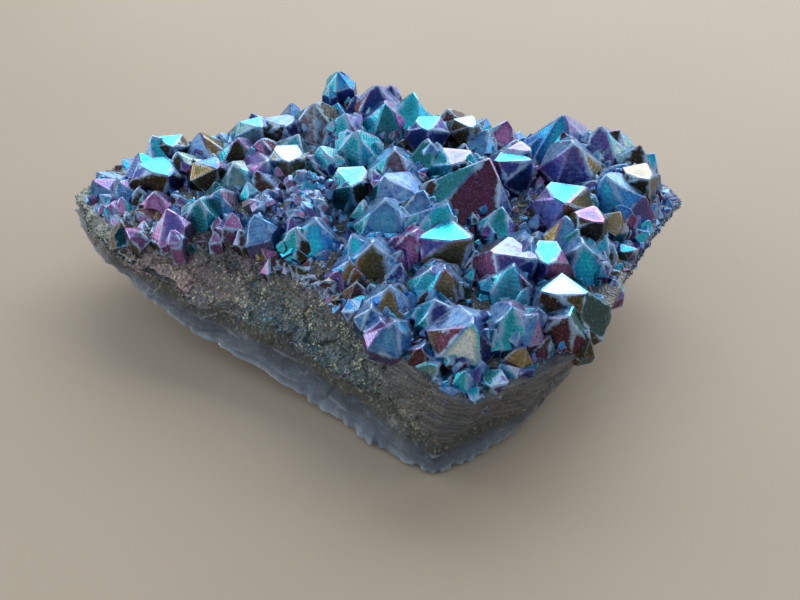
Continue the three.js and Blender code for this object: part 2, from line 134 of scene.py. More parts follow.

# %% [markdown]
# ## The quartz points, one row each
# A row gives the tip's place, the width across the prism, the way the point leans and
# how far, its turn about its own axis, and then the film on its faces. Four letters
# stand for the faces that look left, to the front, right and back; six letters name
# the faces one by one, counter-clockwise from the right. Besides the film's hue, the
# letters paint light and shade: bright or white where a face mirrors the window, dark
# where it faces the room.

# %% The points and their film letters
POINTS = [
    # Left end
    (-54.5, 31, 19.5, 6.5, 210, 30, 0, "sslw"),
    (-50, 24.5, 18.5, 5.5, 240, 25, 10, "mmmvvl"),
    (-45, 27, 20.5, 6, 260, 15, 30, "nknb"),
    (-55, 35.5, 18.5, 5.5, 180, 35, 20, "slbw"),
    (-39.5, 27.5, 22.5, 10.5, 300, 45, 110, "wccnkn"),
    (-49, 29, 20.5, 6, 200, 22, 10, "lwwbbs"),
    (-50, 31, 20, 6, 240, 20, 30, "vmbl"),
    (-41.5, 24, 21.5, 9.5, 270, 12, 30, "lllmmv"),
    (-32.5, 19, 23, 6.5, 270, 18, 10, "lleegg"),
    (-29.5, 22, 23, 7.5, 260, 15, 0, "wlffsf"),
    (-40.5, 38, 22.5, 7, 280, 50, 100, "lccknk"),
    (-39, 34.5, 23.5, 6.5, 215, 15, 30, "zwekkz"),
    (-30.5, 27.5, 24, 6.5, 300, 45, 0, "lbbokk"),
    (-36, 42, 23.5, 9.5, 170, 15, 15, "wpoc"),
    (-28, 37.5, 24.5, 10, 270, 18, 20, "lwwtkk"),
    (-24, 42, 24.5, 7.5, 300, 45, 0, "hcceek"),
    (-19.5, 42.5, 24.5, 9, 290, 40, 110, "lhhkkn"),
    (-27.5, 27.5, 25, 10, 255, 20, 45, "zwweew"),
    (-21.5, 28.5, 25, 11, 300, 30, 20, "vlbl"),
    (-23.5, 37.5, 24.5, 6, 250, 15, 0, "lllmmp"),
    (-17.5, 28, 25, 7.5, 275, 50, 95, "wzzoko"),
    (-23.5, 27, 24, 6.5, 200, 20, 45, "wwebpw"),
    # Back
    (-16.5, 38.5, 25, 9.5, 0, 20, 0, "etel"),
    (-14, 47, 27, 10, 270, 15, 0, "lwwgfk"),
    (-10, 58.5, 28, 5.5, 270, 14, 55, "lwwtaa"),
    (-2, 54.5, 27, 9, 270, 20, 20, "lwwpnl"),
    (-0.5, 47, 27, 12, 265, 18, 30, "lbbtgn"),
    (5, 52, 27, 9.5, 60, 15, 10, "cttttu"),
    (7.5, 36, 27, 7.5, 270, 50, 90, "tccnkn"),
    (-8, 44.5, 26, 6, 270, 20, 0, "tmlc"),
    (-5.5, 36, 27, 9, 270, 20, 0, "lwwttt"),
    (-12.5, 34, 25, 5.5, 180, 20, 0, "eeeqty"),
    (-14.5, 31, 24.5, 5.5, 270, 25, 30, "pkml"),
    (-6, 19, 25.5, 8, 275, 50, 95, "wjjgtk"),
    (1.5, 27.5, 28, 10, 270, 15, 30, "wwwgfh"),
    (8, 31.5, 27, 7.5, 265, 12, 25, "wwwssp"),
    (11.5, 24.5, 26.5, 9, 260, 50, 80, "llltkk"),
    (7.5, 33.5, 27, 8, 90, 15, 0, "gtel"),
    (15, 28, 27, 7, 90, 10, 30, "ktbl"),
    (16, 39, 26, 5.5, 290, 50, 110, "wzykoo"),
    (11.5, 48.5, 25, 7, 200, 20, 10, "pppl"),
    (19, 40.5, 25, 7, 40, 18, 0, "slsw"),
    (23, 44, 25, 7.5, 30, 20, 30, "tmlc"),
    (24, 35, 26, 10, 60, 22, 20, "evvl"),
    (26, 29.5, 26.5, 6, 315, 46, 15, "hllxnn"),
    (26, 27, 26, 7, 335, 46, 35, "waaknn"),
    # Right end
    (33, 40.5, 28, 12, 250, 14, 10, "xxwuux"),
    (33.5, 30, 28, 11, 265, 20, 35, "wesddo"),
    (30, 13.5, 25.5, 11, 262, 44, 78, "aallpo"),
    (39.5, 38, 27, 9.5, 200, 12, 10, "wxxndz"),
    (43.5, 38.5, 26, 7.5, 0, 20, 0, "vkvl"),
    (46.5, 33.5, 25.5, 7, 330, 12, 20, "kwwekk"),
    (46, 22, 25, 8, 290, 46, 110, "srrkkk"),
    (49.5, 34, 23.5, 6, 0, 25, 0, "ccbl"),
    (38, 22, 26, 11.5, 200, 26, 10, "hhwbbu"),
    (40, 15, 23, 5, 320, 20, 0, "yyoyyo"),
    (50, 30, 21.5, 8, 350, 30, 20, "sssl"),
    (51, 27, 16, 5.5, 340, 50, 0, "bswl"),
    (43.5, 21.5, 21.5, 7, 300, 20, 0, "kksl"),
    (44.5, 18.5, 20, 5.5, 330, 30, 0, "slbw"),
    (42.5, 18, 21, 7, 320, 28, 0, "slsw"),
    (38, 8, 21, 6.5, 320, 25, 20, "kkol"),
    (48.5, 23, 19.5, 6, 330, 35, 0, "sbll"),
    # Middle
    (18, 23, 29, 15.5, 5, 18, 15, "wwwgps"),
    (6.5, 17.5, 26, 9, 60, 20, 10, "ksst"),
    (10.5, 13, 26, 9, 340, 22, 20, "hwwstb"),
    (-0.5, 20, 27, 10, 230, 25, 20, "hhwqhh"),
    (0, 13, 27, 13, 270, 14, 30, "wwwgsh"),
    (3, 16, 24.5, 5.5, 300, 10, 0, "kkkl"),
    (-5.5, 6.5, 24, 6, 200, 20, 30, "wwhccb"),
    (-2, 3, 25, 11, 270, 20, 30, "wwwcos"),
    (-11.5, 10.5, 24.5, 9, 300, 18, 30, "hhwtaa"),
    (-15, 9.5, 23.5, 7, 250, 20, 0, "tkel"),
    (-10.5, 7.5, 20, 6, 270, 25, 0, "bsll"),
    (-7.5, 1.5, 20.5, 6, 270, 20, 0, "nnkl"),
    (-4.5, -1.5, 20.5, 6, 270, 15, 30, "ppkl"),
    (4.5, 6, 25, 7.5, 270, 20, 0, "lllmmv"),
    (14, 4, 25, 11.5, 315, 41, 15, "wwcnok"),
    (24, -1.5, 25, 8, 320, 48, 20, "eiivnn"),
    (7, -3, 24, 6.5, 250, 20, 10, "wwwtqn"),
    (9.5, -3.5, 24.5, 8, 290, 22, 30, "wwhqoo"),
    (1, -6.5, 23.5, 6.5, 290, 15, 30, "hhwboh"),
    (20, -3.5, 25, 8.5, 270, 18, 15, "hwwqqp"),
    (23.5, -10, 25, 9, 215, 42, 35, "zxsokk"),
    (25.5, -2.5, 24.5, 7.5, 265, 50, 85, "maanpm"),
    (30, 11, 25, 11, 90, 5, 30, "hhhosb"),
    (36, 8.5, 25, 6.5, 300, 48, 0, "yvvkkk"),
    (32, 3.5, 24.5, 9, 270, 20, 30, "wwwuun"),
    (36.5, 4.5, 20, 7.5, 300, 20, 0, "kkol"),
    # Front
    (12, -22, 15.5, 4.5, 290, 30, 0, "hhhhbh"),
    (5.5, -17, 20, 5, 250, 25, 0, "hhhppb"),
    (34.5, -5, 20, 6, 320, 25, 30, "skkl"),
    (-2, -9.5, 21.5, 5, 270, 22, 30, "hhhsbh"),
    (-0.5, -12, 21, 5, 270, 22, 30, "hhhllm"),
    (1.5, -13.5, 22, 8, 280, 18, 15, "hhmlss"),
    (13, -17, 24.5, 9.5, 290, 30, 20, "hhhpzn"),
    (19, -13.5, 25, 8.5, 265, 17, 40, "llwttl"),
    (23, -13.5, 23.5, 7, 330, 25, 0, "tsll"),
    (27.5, -14, 23.5, 8.5, 275, 34, 5, "hhhppg"),
    (9.5, -16.5, 20.5, 7.5, 270, 15, 30, "hhhttp"),
    (8, -19.5, 18.5, 5.5, 280, 38, 100, "hhheok"),
    (12, -20.5, 18.5, 4.5, 280, 20, 10, "hwwtth"),
    (21, -17, 20, 6, 300, 20, 0, "hhhkok"),
    (25, -14.5, 20, 6, 310, 25, 10, "hhhppg"),
    (31, -13, 20, 5.5, 330, 25, 0, "hhhgkk"),
]
# Columns of a row after the tip's x, y and z.
WIDTH, LEAN_TO, LEAN, TURN = 3, 4, 5, 6
print("points:", len(POINTS))

# %% [markdown]
# ## Film letters
# Interference colours come in one fixed order as the film gets thicker: gold, brown,
# plum, magenta, violet, navy, azure, cyan, teal, green. A letter is a place in this
# order from 0 to 1, then how strong the reflection is, then how much pale frost covers
# it. Frost is a skin of tiny crystals and scratches, which scatters the light. Both
# later values are partly painted light: strong, pale letters paint highlights on faces
# that mirror the window, and weak, dark ones paint shade on faces toward the dim room.

# %% The films
FILMS = {
    "k": (0.13, 0.32, 0.0),
    "o": (0.07, 0.65, 0.0),
    "y": (0.00, 0.90, 0.1),
    "p": (0.22, 0.60, 0.0),
    "m": (0.34, 1.05, 0.1),
    "v": (0.43, 0.95, 0.05),
    "n": (0.50, 0.55, 0.0),
    "b": (0.60, 0.95, 0.05),
    "c": (0.70, 1.00, 0.0),
    "t": (0.79, 0.90, 0.0),
    "g": (0.88, 0.70, 0.0),
    "e": (0.93, 0.90, 0.2),
    "l": (0.44, 0.90, 0.3),
    "w": (0.60, 1.00, 0.5),
    "s": (0.62, 0.70, 0.25),
    "a": (0.66, 1.10, 0.0),
    "u": (0.68, 0.75, 0.0),
    "q": (0.76, 0.95, 0.15),
    "h": (0.58, 1.20, 0.60),
    "x": (0.42, 1.10, 0.55),
    "z": (1.00, 1.70, 0.30),
    "d": (0.47, 0.60, 0.0),
    "f": (0.21, 0.90, 0.20),
    "j": (0.86, 1.00, 0.15),
    "r": (0.00, 0.80, 0.30),
    "i": (0.50, 0.85, 0.55),
}
LETTERS = "".join(FILMS)
FILM_VALUES = np.array([FILMS[letter] for letter in LETTERS])
# What unnamed faces may wear, for the same four directions. The darker films to the
# front and brighter ones to the back are partly painted shade and highlight.
LOOSE_FILMS = ("tbusnugs", "pmnuskdt", "sdbtshnu", "cutbstas")
print("films:", len(FILMS))

# %% [markdown]
# ## Repeatable chance
# Nothing here is drawn from a random generator: every value comes from a hash of whole
# numbers, so the stone grows the same way each time. Smooth noise blends such values
# between the corners of a lattice, and broken stone takes one tilted plane per cell.

# %% Hashes and noises
def hash01(a, b):
    """From 0 to 1: the fraction of 43758.5453 times the sine of 127.1 a + 311.7 b."""
    wave = np.sin(np.asarray(a, float) * 127.1 + np.asarray(b, float) * 311.7)
    wave = wave * 43758.5453
    return wave - np.floor(wave)


def mix(a, b, share):
    return a + (b - a) * share


def cell_hash(cell, seed):
    """One value for each lattice cell, from its three whole numbers."""
    return hash01(cell[..., 0] + 37.0 * cell[..., 1], cell[..., 2] + 11.0 * seed)


def smooth_noise(places, size, seed):
    """Values at the lattice corners, blended with 3t^2 - 2t^3 along each axis."""
    cell = np.floor(places / size)
    t = places / size - cell
    t = t * t * (3 - 2 * t)
    total = 0.0
    for corner in itertools.product((0, 1), repeat=3):
        weight = np.prod(np.where(np.array(corner) == 1, t, 1 - t), axis=-1)
        total = total + weight * cell_hash(cell + np.array(corner), seed)
    return total


def broken_planes(places, size, seed):
    """Each place takes the tilted plane of its nearest jittered cell centre: the
    offset from that centre times a chance slope, plus a chance step. About -1 to 1."""
    base = np.floor(places / size)
    nearest = np.full(places.shape[:-1], np.inf)
    height = np.zeros(places.shape[:-1])
    for corner in itertools.product((-1, 0, 1), repeat=3):
        cell = base + np.array(corner)
        jitter = np.stack([cell_hash(cell, seed + k) for k in (1, 2, 3)], -1)
        offset = places / size - cell - jitter
        distance = np.sqrt((offset**2).sum(-1))
        slope = np.stack([cell_hash(cell, seed + k) - 0.5 for k in (4, 5, 6)], -1)
        plane = 1.6 * (offset * slope).sum(-1) + cell_hash(cell, seed + 7) - 0.5
        height = np.where(distance < nearest, plane, height)
        nearest = np.minimum(distance, nearest)
    return height


def swell(places, depth, size, seed):
    """Smooth noise that goes from half a depth below zero to half a depth above."""
    return depth * (smooth_noise(places, size, seed) - 0.5)


def breaks(places, depth, size, seed):
    return depth * broken_planes(places, size, seed)


print("hash of 1, 2:", round(float(hash01(1, 2)), 6))

# %% [markdown]
# ## The field that the points stand on
# Between the stations the rim is found by its angle about the dome's centre. Inside it
# the ground rises to the centre as 1 minus the squared share of the way to the rim.

# %% The ground under the points
rim = STATIONS[:, 0:3]
rim_out = rim[:, :2] - DOME_CENTRE
rim_turn = np.arctan2(rim_out[:, 1], rim_out[:, 0])
rim_start = rim_turn[0]
rim_turn = np.mod(rim_turn - rim_start, 2 * math.pi)
rim_reach = np.hypot(rim_out[:, 0], rim_out[:, 1])


def field_at(xy):
    """Share of the way from the dome's centre to the rim, and the ground's height."""
    out = xy - DOME_CENTRE
    turn = np.mod(np.arctan2(out[..., 1], out[..., 0]) - rim_start, 2 * math.pi)
    reach = np.interp(turn, rim_turn, rim_reach, period=2 * math.pi)
    height = np.interp(turn, rim_turn, rim[:, 2], period=2 * math.pi)
    share = np.hypot(out[..., 0], out[..., 1]) / reach
    return share, mix(DOME_HEIGHT, height, share**2)


def filler_rows():
    """Two irrational steps spread tries over the field; each takes the gap it finds."""
    taken = [row[:7] for row in POINTS]
    rows = []
    for n in range(1, FILLER_TRIES + 1):
        place = FIELD_CORNER + FIELD_SIZE * np.mod(n * FILLER_STEP, 1)
        share, height = field_at(place)
        if share > FILLER_REACH:
            continue
        near = np.array(taken)
        gaps = np.hypot(*(place - near[:, :2]).T) - FILLER_COVER * near[:, WIDTH]
        gap = min(FILLER_WIDTH[1], gaps.min())
        if gap < 0.5 * FILLER_WIDTH[0]:
            continue
        width = min(2.4 * gap, mix(*FILLER_WIDTH, 0.4 + 0.6 * hash01(n, 1)))
        out = place - DOME_CENTRE
        row = (
            place[0],
            place[1],
            height + width * (0.5 + 0.35 * hash01(n, 2)),
            width,
            math.degrees(math.atan2(out[1], out[0])) + 120 * (hash01(n, 3) - 0.5),
            mix(*FILLER_LEAN, share**2 * hash01(n, 4)),
            120 * hash01(n, 5),
        )
        rows.append(row)
        taken.append(row)
    return rows


fillers = filler_rows()
main_rows = np.array([row[:7] for row in POINTS] + fillers)
main_seeds = np.arange(len(main_rows))
print("filler points:", len(fillers))

# %% [markdown]
# ## The shape of one quartz point
# Real quartz is cut by crystal planes, so a point is best made the same way: as the
# space inside thirteen planes. Corners are where three planes meet inside all others.
# Doing this for every point at once keeps it quick, and it gives true flat faces.

# %% Planes and corners of all points
PLANES = 13
FIRST_TIP_PLANE = 7
TRIPLES = np.array(list(itertools.combinations(range(PLANES), 3)))
SIDES = np.arange(6)


def tip_heights(rows):
    return 0.5 * rows[:, WIDTH] * math.tan(TIP_SLOPE)


def point_planes(rows, seeds, lengths):
    """Normals and distances, with each tip at the origin. Plane 0 is the root, planes
    1 to 6 are the flared prism and 7 to 12 the tip, at turn + 60 k. Odd tip planes
    pass further out. All normals are then turned by the lean about a level axis."""
    width = rows[:, WIDTH, None]
    lean_to, lean, turn = np.radians(rows[:, [LEAN_TO, LEAN, TURN]]).T
    tip_height = tip_heights(rows)[:, None]
    azimuth = turn[:, None] + math.radians(60) * SIDES
    ring = np.stack([np.cos(azimuth), np.sin(azimuth), 0 * azimuth], -1)
    up = np.array([0.0, 0.0, 1.0])
    chance = hash01(seeds[:, None], SIDES)
    reach = 0.5 * width * (1 + SIDE_SPREAD * (chance - 0.5))
    prism = ring * math.cos(PRISM_FLARE) + up * math.sin(PRISM_FLARE)
    shoulder = reach * math.cos(PRISM_FLARE) - tip_height * math.sin(PRISM_FLARE)
    tips = ring * math.sin(TIP_SLOPE) + up * math.cos(TIP_SLOPE)
    minor = width * (MINOR_STEP + MINOR_SPREAD * hash01(seeds[:, None], SIDES + 6))
    roots = np.broadcast_to(-up, (len(rows), 1, 3))
    normals = np.concatenate([roots, prism, tips], 1)
    distances = np.concatenate([lengths[:, None], shoulder, minor * (SIDES % 2)], 1)
    axis = np.stack([-np.sin(lean_to), np.cos(lean_to), 0 * lean_to], -1)[:, None, :]
    cosine = np.cos(lean)[:, None, None]
    sine = np.sin(lean)[:, None, None]
    along = axis * (axis * normals).sum(-1, keepdims=True)
    leaned = normals * cosine + np.cross(axis, normals) * sine + along * (1 - cosine)
    return leaned, distances


def plane_corners(normals, distances):
    """The corners: which point and which triple of planes, and the place, found by
    solving three plane equations and keeping what lies inside all thirteen."""
    three = normals[:, TRIPLES]
    sound = np.abs(np.linalg.det(three)) > 1e-6
    solvable = np.where(sound[..., None, None], three, np.eye(3))
    places = np.linalg.solve(solvable, distances[:, TRIPLES][..., None])[..., 0]
    beyond = np.einsum("kpi,kci->kcp", normals, places) - distances[:, None, :]
    which, triple = np.nonzero(sound & (beyond.max(-1) < 1e-6))
    return which, TRIPLES[triple], places[which, triple]


def main_lengths(rows):
    """From the tip down to the root's level, and never less than tip and short root."""
    rooted = (rows[:, 2] - ROOT_HEIGHT) / np.cos(np.radians(rows[:, LEAN]))
    return np.maximum(rooted, tip_heights(rows) + SHORTEST_ROOT)


def lean_axis(rows):
    """The unit direction in which each point looks."""
    lean_to, lean = np.radians(rows[:, [LEAN_TO, LEAN]]).T
    return np.stack([np.sin(lean) * np.cos(lean_to), np.sin(lean) * np.sin(lean_to),
                     np.cos(lean)], -1)


main_planes = point_planes(main_rows, main_seeds, main_lengths(main_rows))
which, _, places = plane_corners(*main_planes)
main_corners = places + main_rows[which, :3]
print("points:", len(main_rows), "corners:", len(main_corners))

# %% [markdown]
# ## The rock's rings
# The rock is a stack of closed rings: the flat cut, the lower edge, the chalcedony
# band, the ledge of the seam, the crust and the rim. Half-way columns and a chance
# step in and out break the outline, exactly as in the solid.

# %% The coarse rings of the solid
LEVELS = (
    # from part, to part, share, roughness, step
    ("foot", "foot", 0.0, 0.0, 0.0),
    ("edge", "edge", 0.0, BASE_ROUGHNESS, 0.0),
    ("edge", "seam", 0.5, BASE_ROUGHNESS, -0.3 * LEDGE),
    ("edge", "seam", 0.96, BASE_ROUGHNESS, -LEDGE),
    ("seam", "rim", 0.04, CRUST_ROUGHNESS, 0.0),
    ("seam", "rim", 0.5, CRUST_ROUGHNESS, 0.0),
    ("rim", "rim", 0.0, BASE_ROUGHNESS, 0.0),
)
STATION_PARTS = {
    "rim": STATIONS[:, 0:3],
    "seam": STATIONS[:, 3:6],
    "edge": STATIONS[:, 6:9],
    "foot": np.column_stack([STATIONS[:, 9:11], np.zeros(len(STATIONS))]),
}


def halved(ring):
    """A ring with a point half-way between each two stations."""
    between = 0.5 * (ring + np.roll(ring, -1, 0))
    return np.stack([ring, between], 1).reshape(-1, 3)


def coarse_rings():
    """Each level lies a share of the way between two parts, then moves outward from
    the dome's centre and up by chance."""
    rings = []
    for row, (lower, upper, share, rough, step) in enumerate(LEVELS):
        ring = halved(mix(STATION_PARTS[lower], STATION_PARTS[upper], share))
        column = np.arange(len(ring))
        outward = ring[:, :2] - DOME_CENTRE
        outward = outward / np.hypot(*outward.T)[:, None]
        ring[:, :2] += outward * (rough * (hash01(column, row) - 0.5) + step)[:, None]
        ring[:, 2] += 0.6 * rough * (hash01(column, row + 20) - 0.5)
        rings.append(ring)
    inner = mix(DOME_CENTRE, rings[-1][:, :2], DOME_RING)
    rings.append(np.column_stack([inner, field_at(inner)[1]]))
    return np.array(rings)


RINGS = coarse_rings()
spots = np.concatenate([main_corners, RINGS.reshape(-1, 3)])
MIDDLE = 0.5 * (spots.min(0) + spots.max(0)) * np.array([1.0, 1.0, 0.0])
print("middle of the stone in mm:", MIDDLE.round(3))

# %% [markdown]
# ## From corners to a worn, closed mesh
# A coated point isn't knife-sharp: its edges are rubbed and frosted, and they catch
# the light as pale lines. So every face is drawn in a little from its edges, a strip
# joins each two faces, and a small triangle closes each corner. That is a true bevel,
# worked out with whole arrays, and it leaves every shell closed.

# %% Bevelled points
# A corner has three planes and three edges. Each two of its planes share an edge, and,
# in the same order, each two of its edges bound a face.
PAIRS = ((0, 1), (0, 2), (1, 2))
# A direction that no face looks along, to start a face's own two axes from.
SIDEWAYS = np.array([0.31, 0.52, 0.79])
# How the worn width falls from a point's tip to its foot: start, slope, least, most.
WEAR_FALL = (1.7, 0.75, 0.35, 1.5)
# The most of an edge that a bevel may use up from one end.
BEVEL_ROOM = 0.45


def unit(vectors):
    length = np.linalg.norm(vectors, axis=-1, keepdims=True)
    return vectors / np.maximum(length, 1e-12)


def turned_outward(corners, points, outward):
    """Faces whose own normal points against outward have their corners reversed."""
    a, b, c = (points[corners[:, k]] for k in (0, 1, 2))
    inward = (np.cross(b - a, c - a) * outward).sum(-1) < 0
    return np.where(inward[:, None], corners[:, ::-1], corners)


def corner_edges(which, planes_of, facing, places):
    """The three edges at each corner: their directions away from it, their lengths, and
    for each edge of a point its two places in the flat list of all these."""
    spans, keys = [], []
    for a, b in PAIRS:
        third = facing[:, 3 - a - b]
        span = unit(np.cross(facing[:, a], facing[:, b]))
        spans.append(np.where((span * third).sum(-1, keepdims=True) > 0, -span, span))
        keys.append((which * PLANES + planes_of[:, a]) * PLANES + planes_of[:, b])
    keys = np.stack(keys, 1)
    ends = np.argsort(keys.ravel(), kind="stable").reshape(-1, 2).T
    lengths = np.zeros(keys.size)
    lengths[ends] = np.linalg.norm(places[ends[0] // 3] - places[ends[1] // 3], axis=-1)
    return np.stack(spans, 1), lengths.reshape(keys.shape), ends


def drawn_in(places, worn, spans, lengths):
    """A face's corner moves in from the crystal's corner by worn / sin(angle) along
    both of its edges, but never past BEVEL_ROOM of one."""
    moved = []
    for e, f in PAIRS:
        cosine = (spans[:, e] * spans[:, f]).sum(-1)
        sine = np.sqrt(np.maximum(1 - cosine**2, 1e-4))
        room = BEVEL_ROOM * np.minimum(lengths[:, e], lengths[:, f]) / (1 + cosine)
        slide = np.minimum(worn / sine, room)
        moved.append(places + slide[:, None] * (spans[:, e] + spans[:, f]))
    return np.stack(moved, 1).reshape(-1, 3)


def edge_strips(ends, inset, owner, plane, normals):
    """One strip for each edge: its two ends on its first face, then on its second."""
    slots = np.array(PAIRS)
    corner, slot = ends // 3, ends % 3
    strips = np.stack([
        3 * corner[0] + slots[slot[0], 0],
        3 * corner[1] + slots[slot[1], 0],
        3 * corner[1] + slots[slot[1], 1],
        3 * corner[0] + slots[slot[0], 1],
    ], -1)
    strip_owner = owner[strips[:, 0]]
    outward = normals[strip_owner, plane[strips[:, 0]]]
    outward = outward + normals[strip_owner, plane[strips[:, 2]]]
    return turned_outward(strips, inset, outward)


def face_fans(inset, owner, plane, normals):
    """Triangles round the middle of each face, in order of angle about its normal, with
    the distance of each one's outer side from the middle."""
    group = owner * PLANES + plane
    names, member, size = np.unique(group, return_inverse=True, return_counts=True)
    middle = np.stack([np.bincount(member, inset[:, k]) for k in range(3)], -1)
    middle = middle / size[:, None]
    normal = normals[names // PLANES, names % PLANES]
    level = unit(np.cross(normal, SIDEWAYS))
    upright = np.cross(normal, level)
    offset = inset - middle[member]
    angle = np.arctan2((offset * upright[member]).sum(-1), (offset * level[member]).sum(-1))
    turn = np.lexsort([angle, member])
    starts = np.concatenate([[0], np.cumsum(size)[:-1]])
    following = np.roll(turn, -1)
    following[starts + size - 1] = turn[starts]
    fans = np.stack([turn, following, len(inset) + member[turn]], -1)
    side = unit(inset[following] - inset[turn])
    toward = middle[member[turn]] - inset[turn]
    depth = np.linalg.norm(toward - side * (side * toward).sum(-1, keepdims=True), axis=-1)
    return fans, depth, middle, names // PLANES


def bevelled_points(rows, planes, wear):
    """All points as one set of arrays: fans for the faces, strips for the edges and
    caps for the corners, and the planes that each of them belongs to."""
    normals, distances = planes
    which, planes_of, places = plane_corners(normals, distances)
    facing = normals[which[:, None], planes_of]
    spans, lengths, ends = corner_edges(which, planes_of, facing, places)
    fall = np.linalg.norm(places, axis=-1) / (0.5 * rows[which, WIDTH])
    start, slope, least, most = WEAR_FALL
    worn = wear[which] * np.clip(start - slope * fall, least, most)
    inset = drawn_in(places, worn, spans, lengths)
    owner, plane = np.repeat(which, 3), planes_of.ravel()
    fans, depth, middle, middle_owner = face_fans(inset, owner, plane, normals)
    strips = edge_strips(ends, inset, owner, plane, normals)
    caps = np.arange(3 * len(which)).reshape(-1, 3)
    point_owner = np.concatenate([owner, middle_owner])
    return {
        "points": np.concatenate([inset, middle]) + rows[point_owner, :3],
        "owner": point_owner,
        "fans": fans,
        "fan_plane": plane[fans[:, 0]],
        "fan_depth": depth,
        "strips": strips,
        "strip_planes": np.stack([plane[strips[:, 0]], plane[strips[:, 2]]], -1),
        "caps": turned_outward(caps, inset, facing.sum(1)),
        "cap_planes": planes_of,
    }


# %% [markdown]
# ## Putting arrays into a mesh
# Blender meshes are filled quickest with foreach_set.

# %% Making pieces
def make_piece(name, points, faces, material, attributes=(), smooth_angle=None):
    """Points in millimetres become metres about the stone's middle. Each attribute is
    a name, a type, a domain and its values."""
    sizes = np.concatenate([np.full(len(part), part.shape[1]) for part in faces])
    corners = np.concatenate([part.ravel() for part in faces])
    mesh = bpy.data.meshes.new(name)
    mesh.vertices.add(len(points))
    mesh.vertices.foreach_set("co", ((points - MIDDLE) * MM).ravel().astype(np.float32))
    mesh.loops.add(len(corners))
    mesh.loops.foreach_set("vertex_index", corners.astype(np.int32))
    mesh.polygons.add(len(sizes))
    starts = np.concatenate([[0], np.cumsum(sizes)[:-1]])
    mesh.polygons.foreach_set("loop_start", starts.astype(np.int32))
    mesh.update(calc_edges=True)
    for title, kind, domain, values in attributes:
        layer = mesh.attributes.new(title, kind, domain)
        field = {"FLOAT": "value", "FLOAT_VECTOR": "vector", "FLOAT_COLOR": "color"}[kind]
        layer.data.foreach_set(field, np.asarray(values, np.float32).ravel())
    mesh.polygons.foreach_set("use_smooth", np.full(len(sizes), smooth_angle is not None))
    if smooth_angle is not None:
        mesh.set_sharp_from_angle(angle=math.radians(smooth_angle))
    mesh.materials.append(material)
    piece = bpy.data.objects.new(name, mesh)
    bpy.context.scene.collection.objects.link(piece)
    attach(piece, "root")
    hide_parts("cluster")
    print(name, "vertices:", len(points), "triangles:", int((sizes - 2).sum()))


# %% [markdown]
# ## A small kit for materials
# Node trees are easier to read when a node, its settings and what feeds it stand on
# one line. These helpers do only that.

# %% Node helpers
def put_node(tree, kind, feeds=None, **settings):
    """Adds a node; each feed is a value or another node's output, by socket."""
    node = tree.nodes.new(kind)
    for title, value in settings.items():
        setattr(node, title, value)
    for socket, value in (feeds or {}).items():
        if isinstance(value, bpy.types.NodeSocket):
            tree.links.new(value, node.inputs[socket])
        else:
            node.inputs[socket].default_value = value
    return node


def calc(tree, operation, *values, clamp=False):
    node = put_node(tree, "ShaderNodeMath", dict(enumerate(values)), operation=operation)
    node.use_clamp = clamp
    return node.outputs[0]


def blend_colour(tree, share, a, b, how="MIX"):
    feeds = {0: share, 6: a, 7: b}
    node = put_node(tree, "ShaderNodeMix", feeds, data_type="RGBA", blend_type=how)
    return node.outputs[2]


def shaded(tree, colour, value):
    """The colour times one value."""
    grey = put_node(tree, "ShaderNodeCombineColor", {0: value, 1: value, 2: value})
    return blend_colour(tree, 1.0, colour, grey.outputs[0], "MULTIPLY")


def blend_value(tree, share, a, b):
    node = put_node(tree, "ShaderNodeMix", {0: share, 2: a, 3: b}, data_type="FLOAT")
    return node.outputs[0]


def eased(tree, value, low, high, to_low=0.0, to_high=1.0):
    """A smooth step of value from low to high."""
    feeds = {0: value, 1: low, 2: high, 3: to_low, 4: to_high}
    node = put_node(tree, "ShaderNodeMapRange", feeds, interpolation_type="SMOOTHSTEP")
    return node.outputs[0]


def noise(tree, places, size_mm, detail=2.0, roughness=0.5):
    """Noise whose features are about size_mm wide, from object coordinates."""
    feeds = {"Vector": places, "Scale": 1 / (size_mm * MM), "Detail": detail,
             "Roughness": roughness}
    return put_node(tree, "ShaderNodeTexNoise", feeds).outputs["Fac"]


def cells(tree, places, size_mm, output="Distance"):
    """Rounded cells about size_mm wide: the way to the middle, or a colour for each."""
    feeds = {"Vector": places, "Scale": 1 / (size_mm * MM)}
    return put_node(tree, "ShaderNodeTexVoronoi", feeds).outputs[output]


def read(tree, title, output="Fac"):
    return put_node(tree, "ShaderNodeAttribute", attribute_name=title).outputs[output]


def new_material(title):
    material = bpy.data.materials.new(title)
    material.use_nodes = True
    material.node_tree.nodes.clear()
    tree = material.node_tree
    places = put_node(tree, "ShaderNodeTexCoord").outputs["Object"]
    return material, tree, places


def finish_material(tree, feeds, heights, strength=0.5, reach_mm=0.1):
    """One Principled surface, with bumps of the given heights."""
    bump = put_node(tree, "ShaderNodeBump",
                    {"Height": heights, "Strength": strength, "Distance": reach_mm * MM})
    surface = put_node(tree, "ShaderNodeBsdfPrincipled",
                       {**feeds, "Normal": bump.outputs[0]})
    put_node(tree, "ShaderNodeOutputMaterial", {"Surface": surface.outputs[0]})


# %% [markdown]
# ## The titanium film
# The colour isn't a pigment. A ramp holds the fixed order of film colours, the face's
# own place in it comes from the "film" attribute, and slow noise moves that place a
# little, as a film that is a few nanometres thicker here and there does. Near the
# edges the film is thinner, so the hue slides. Frost lies on the edges and in specks,
# and its light blue partly paints the sky that the edges reflect. The attribute also
# brings each face's strength and pale cover, which partly paint highlight and shade.

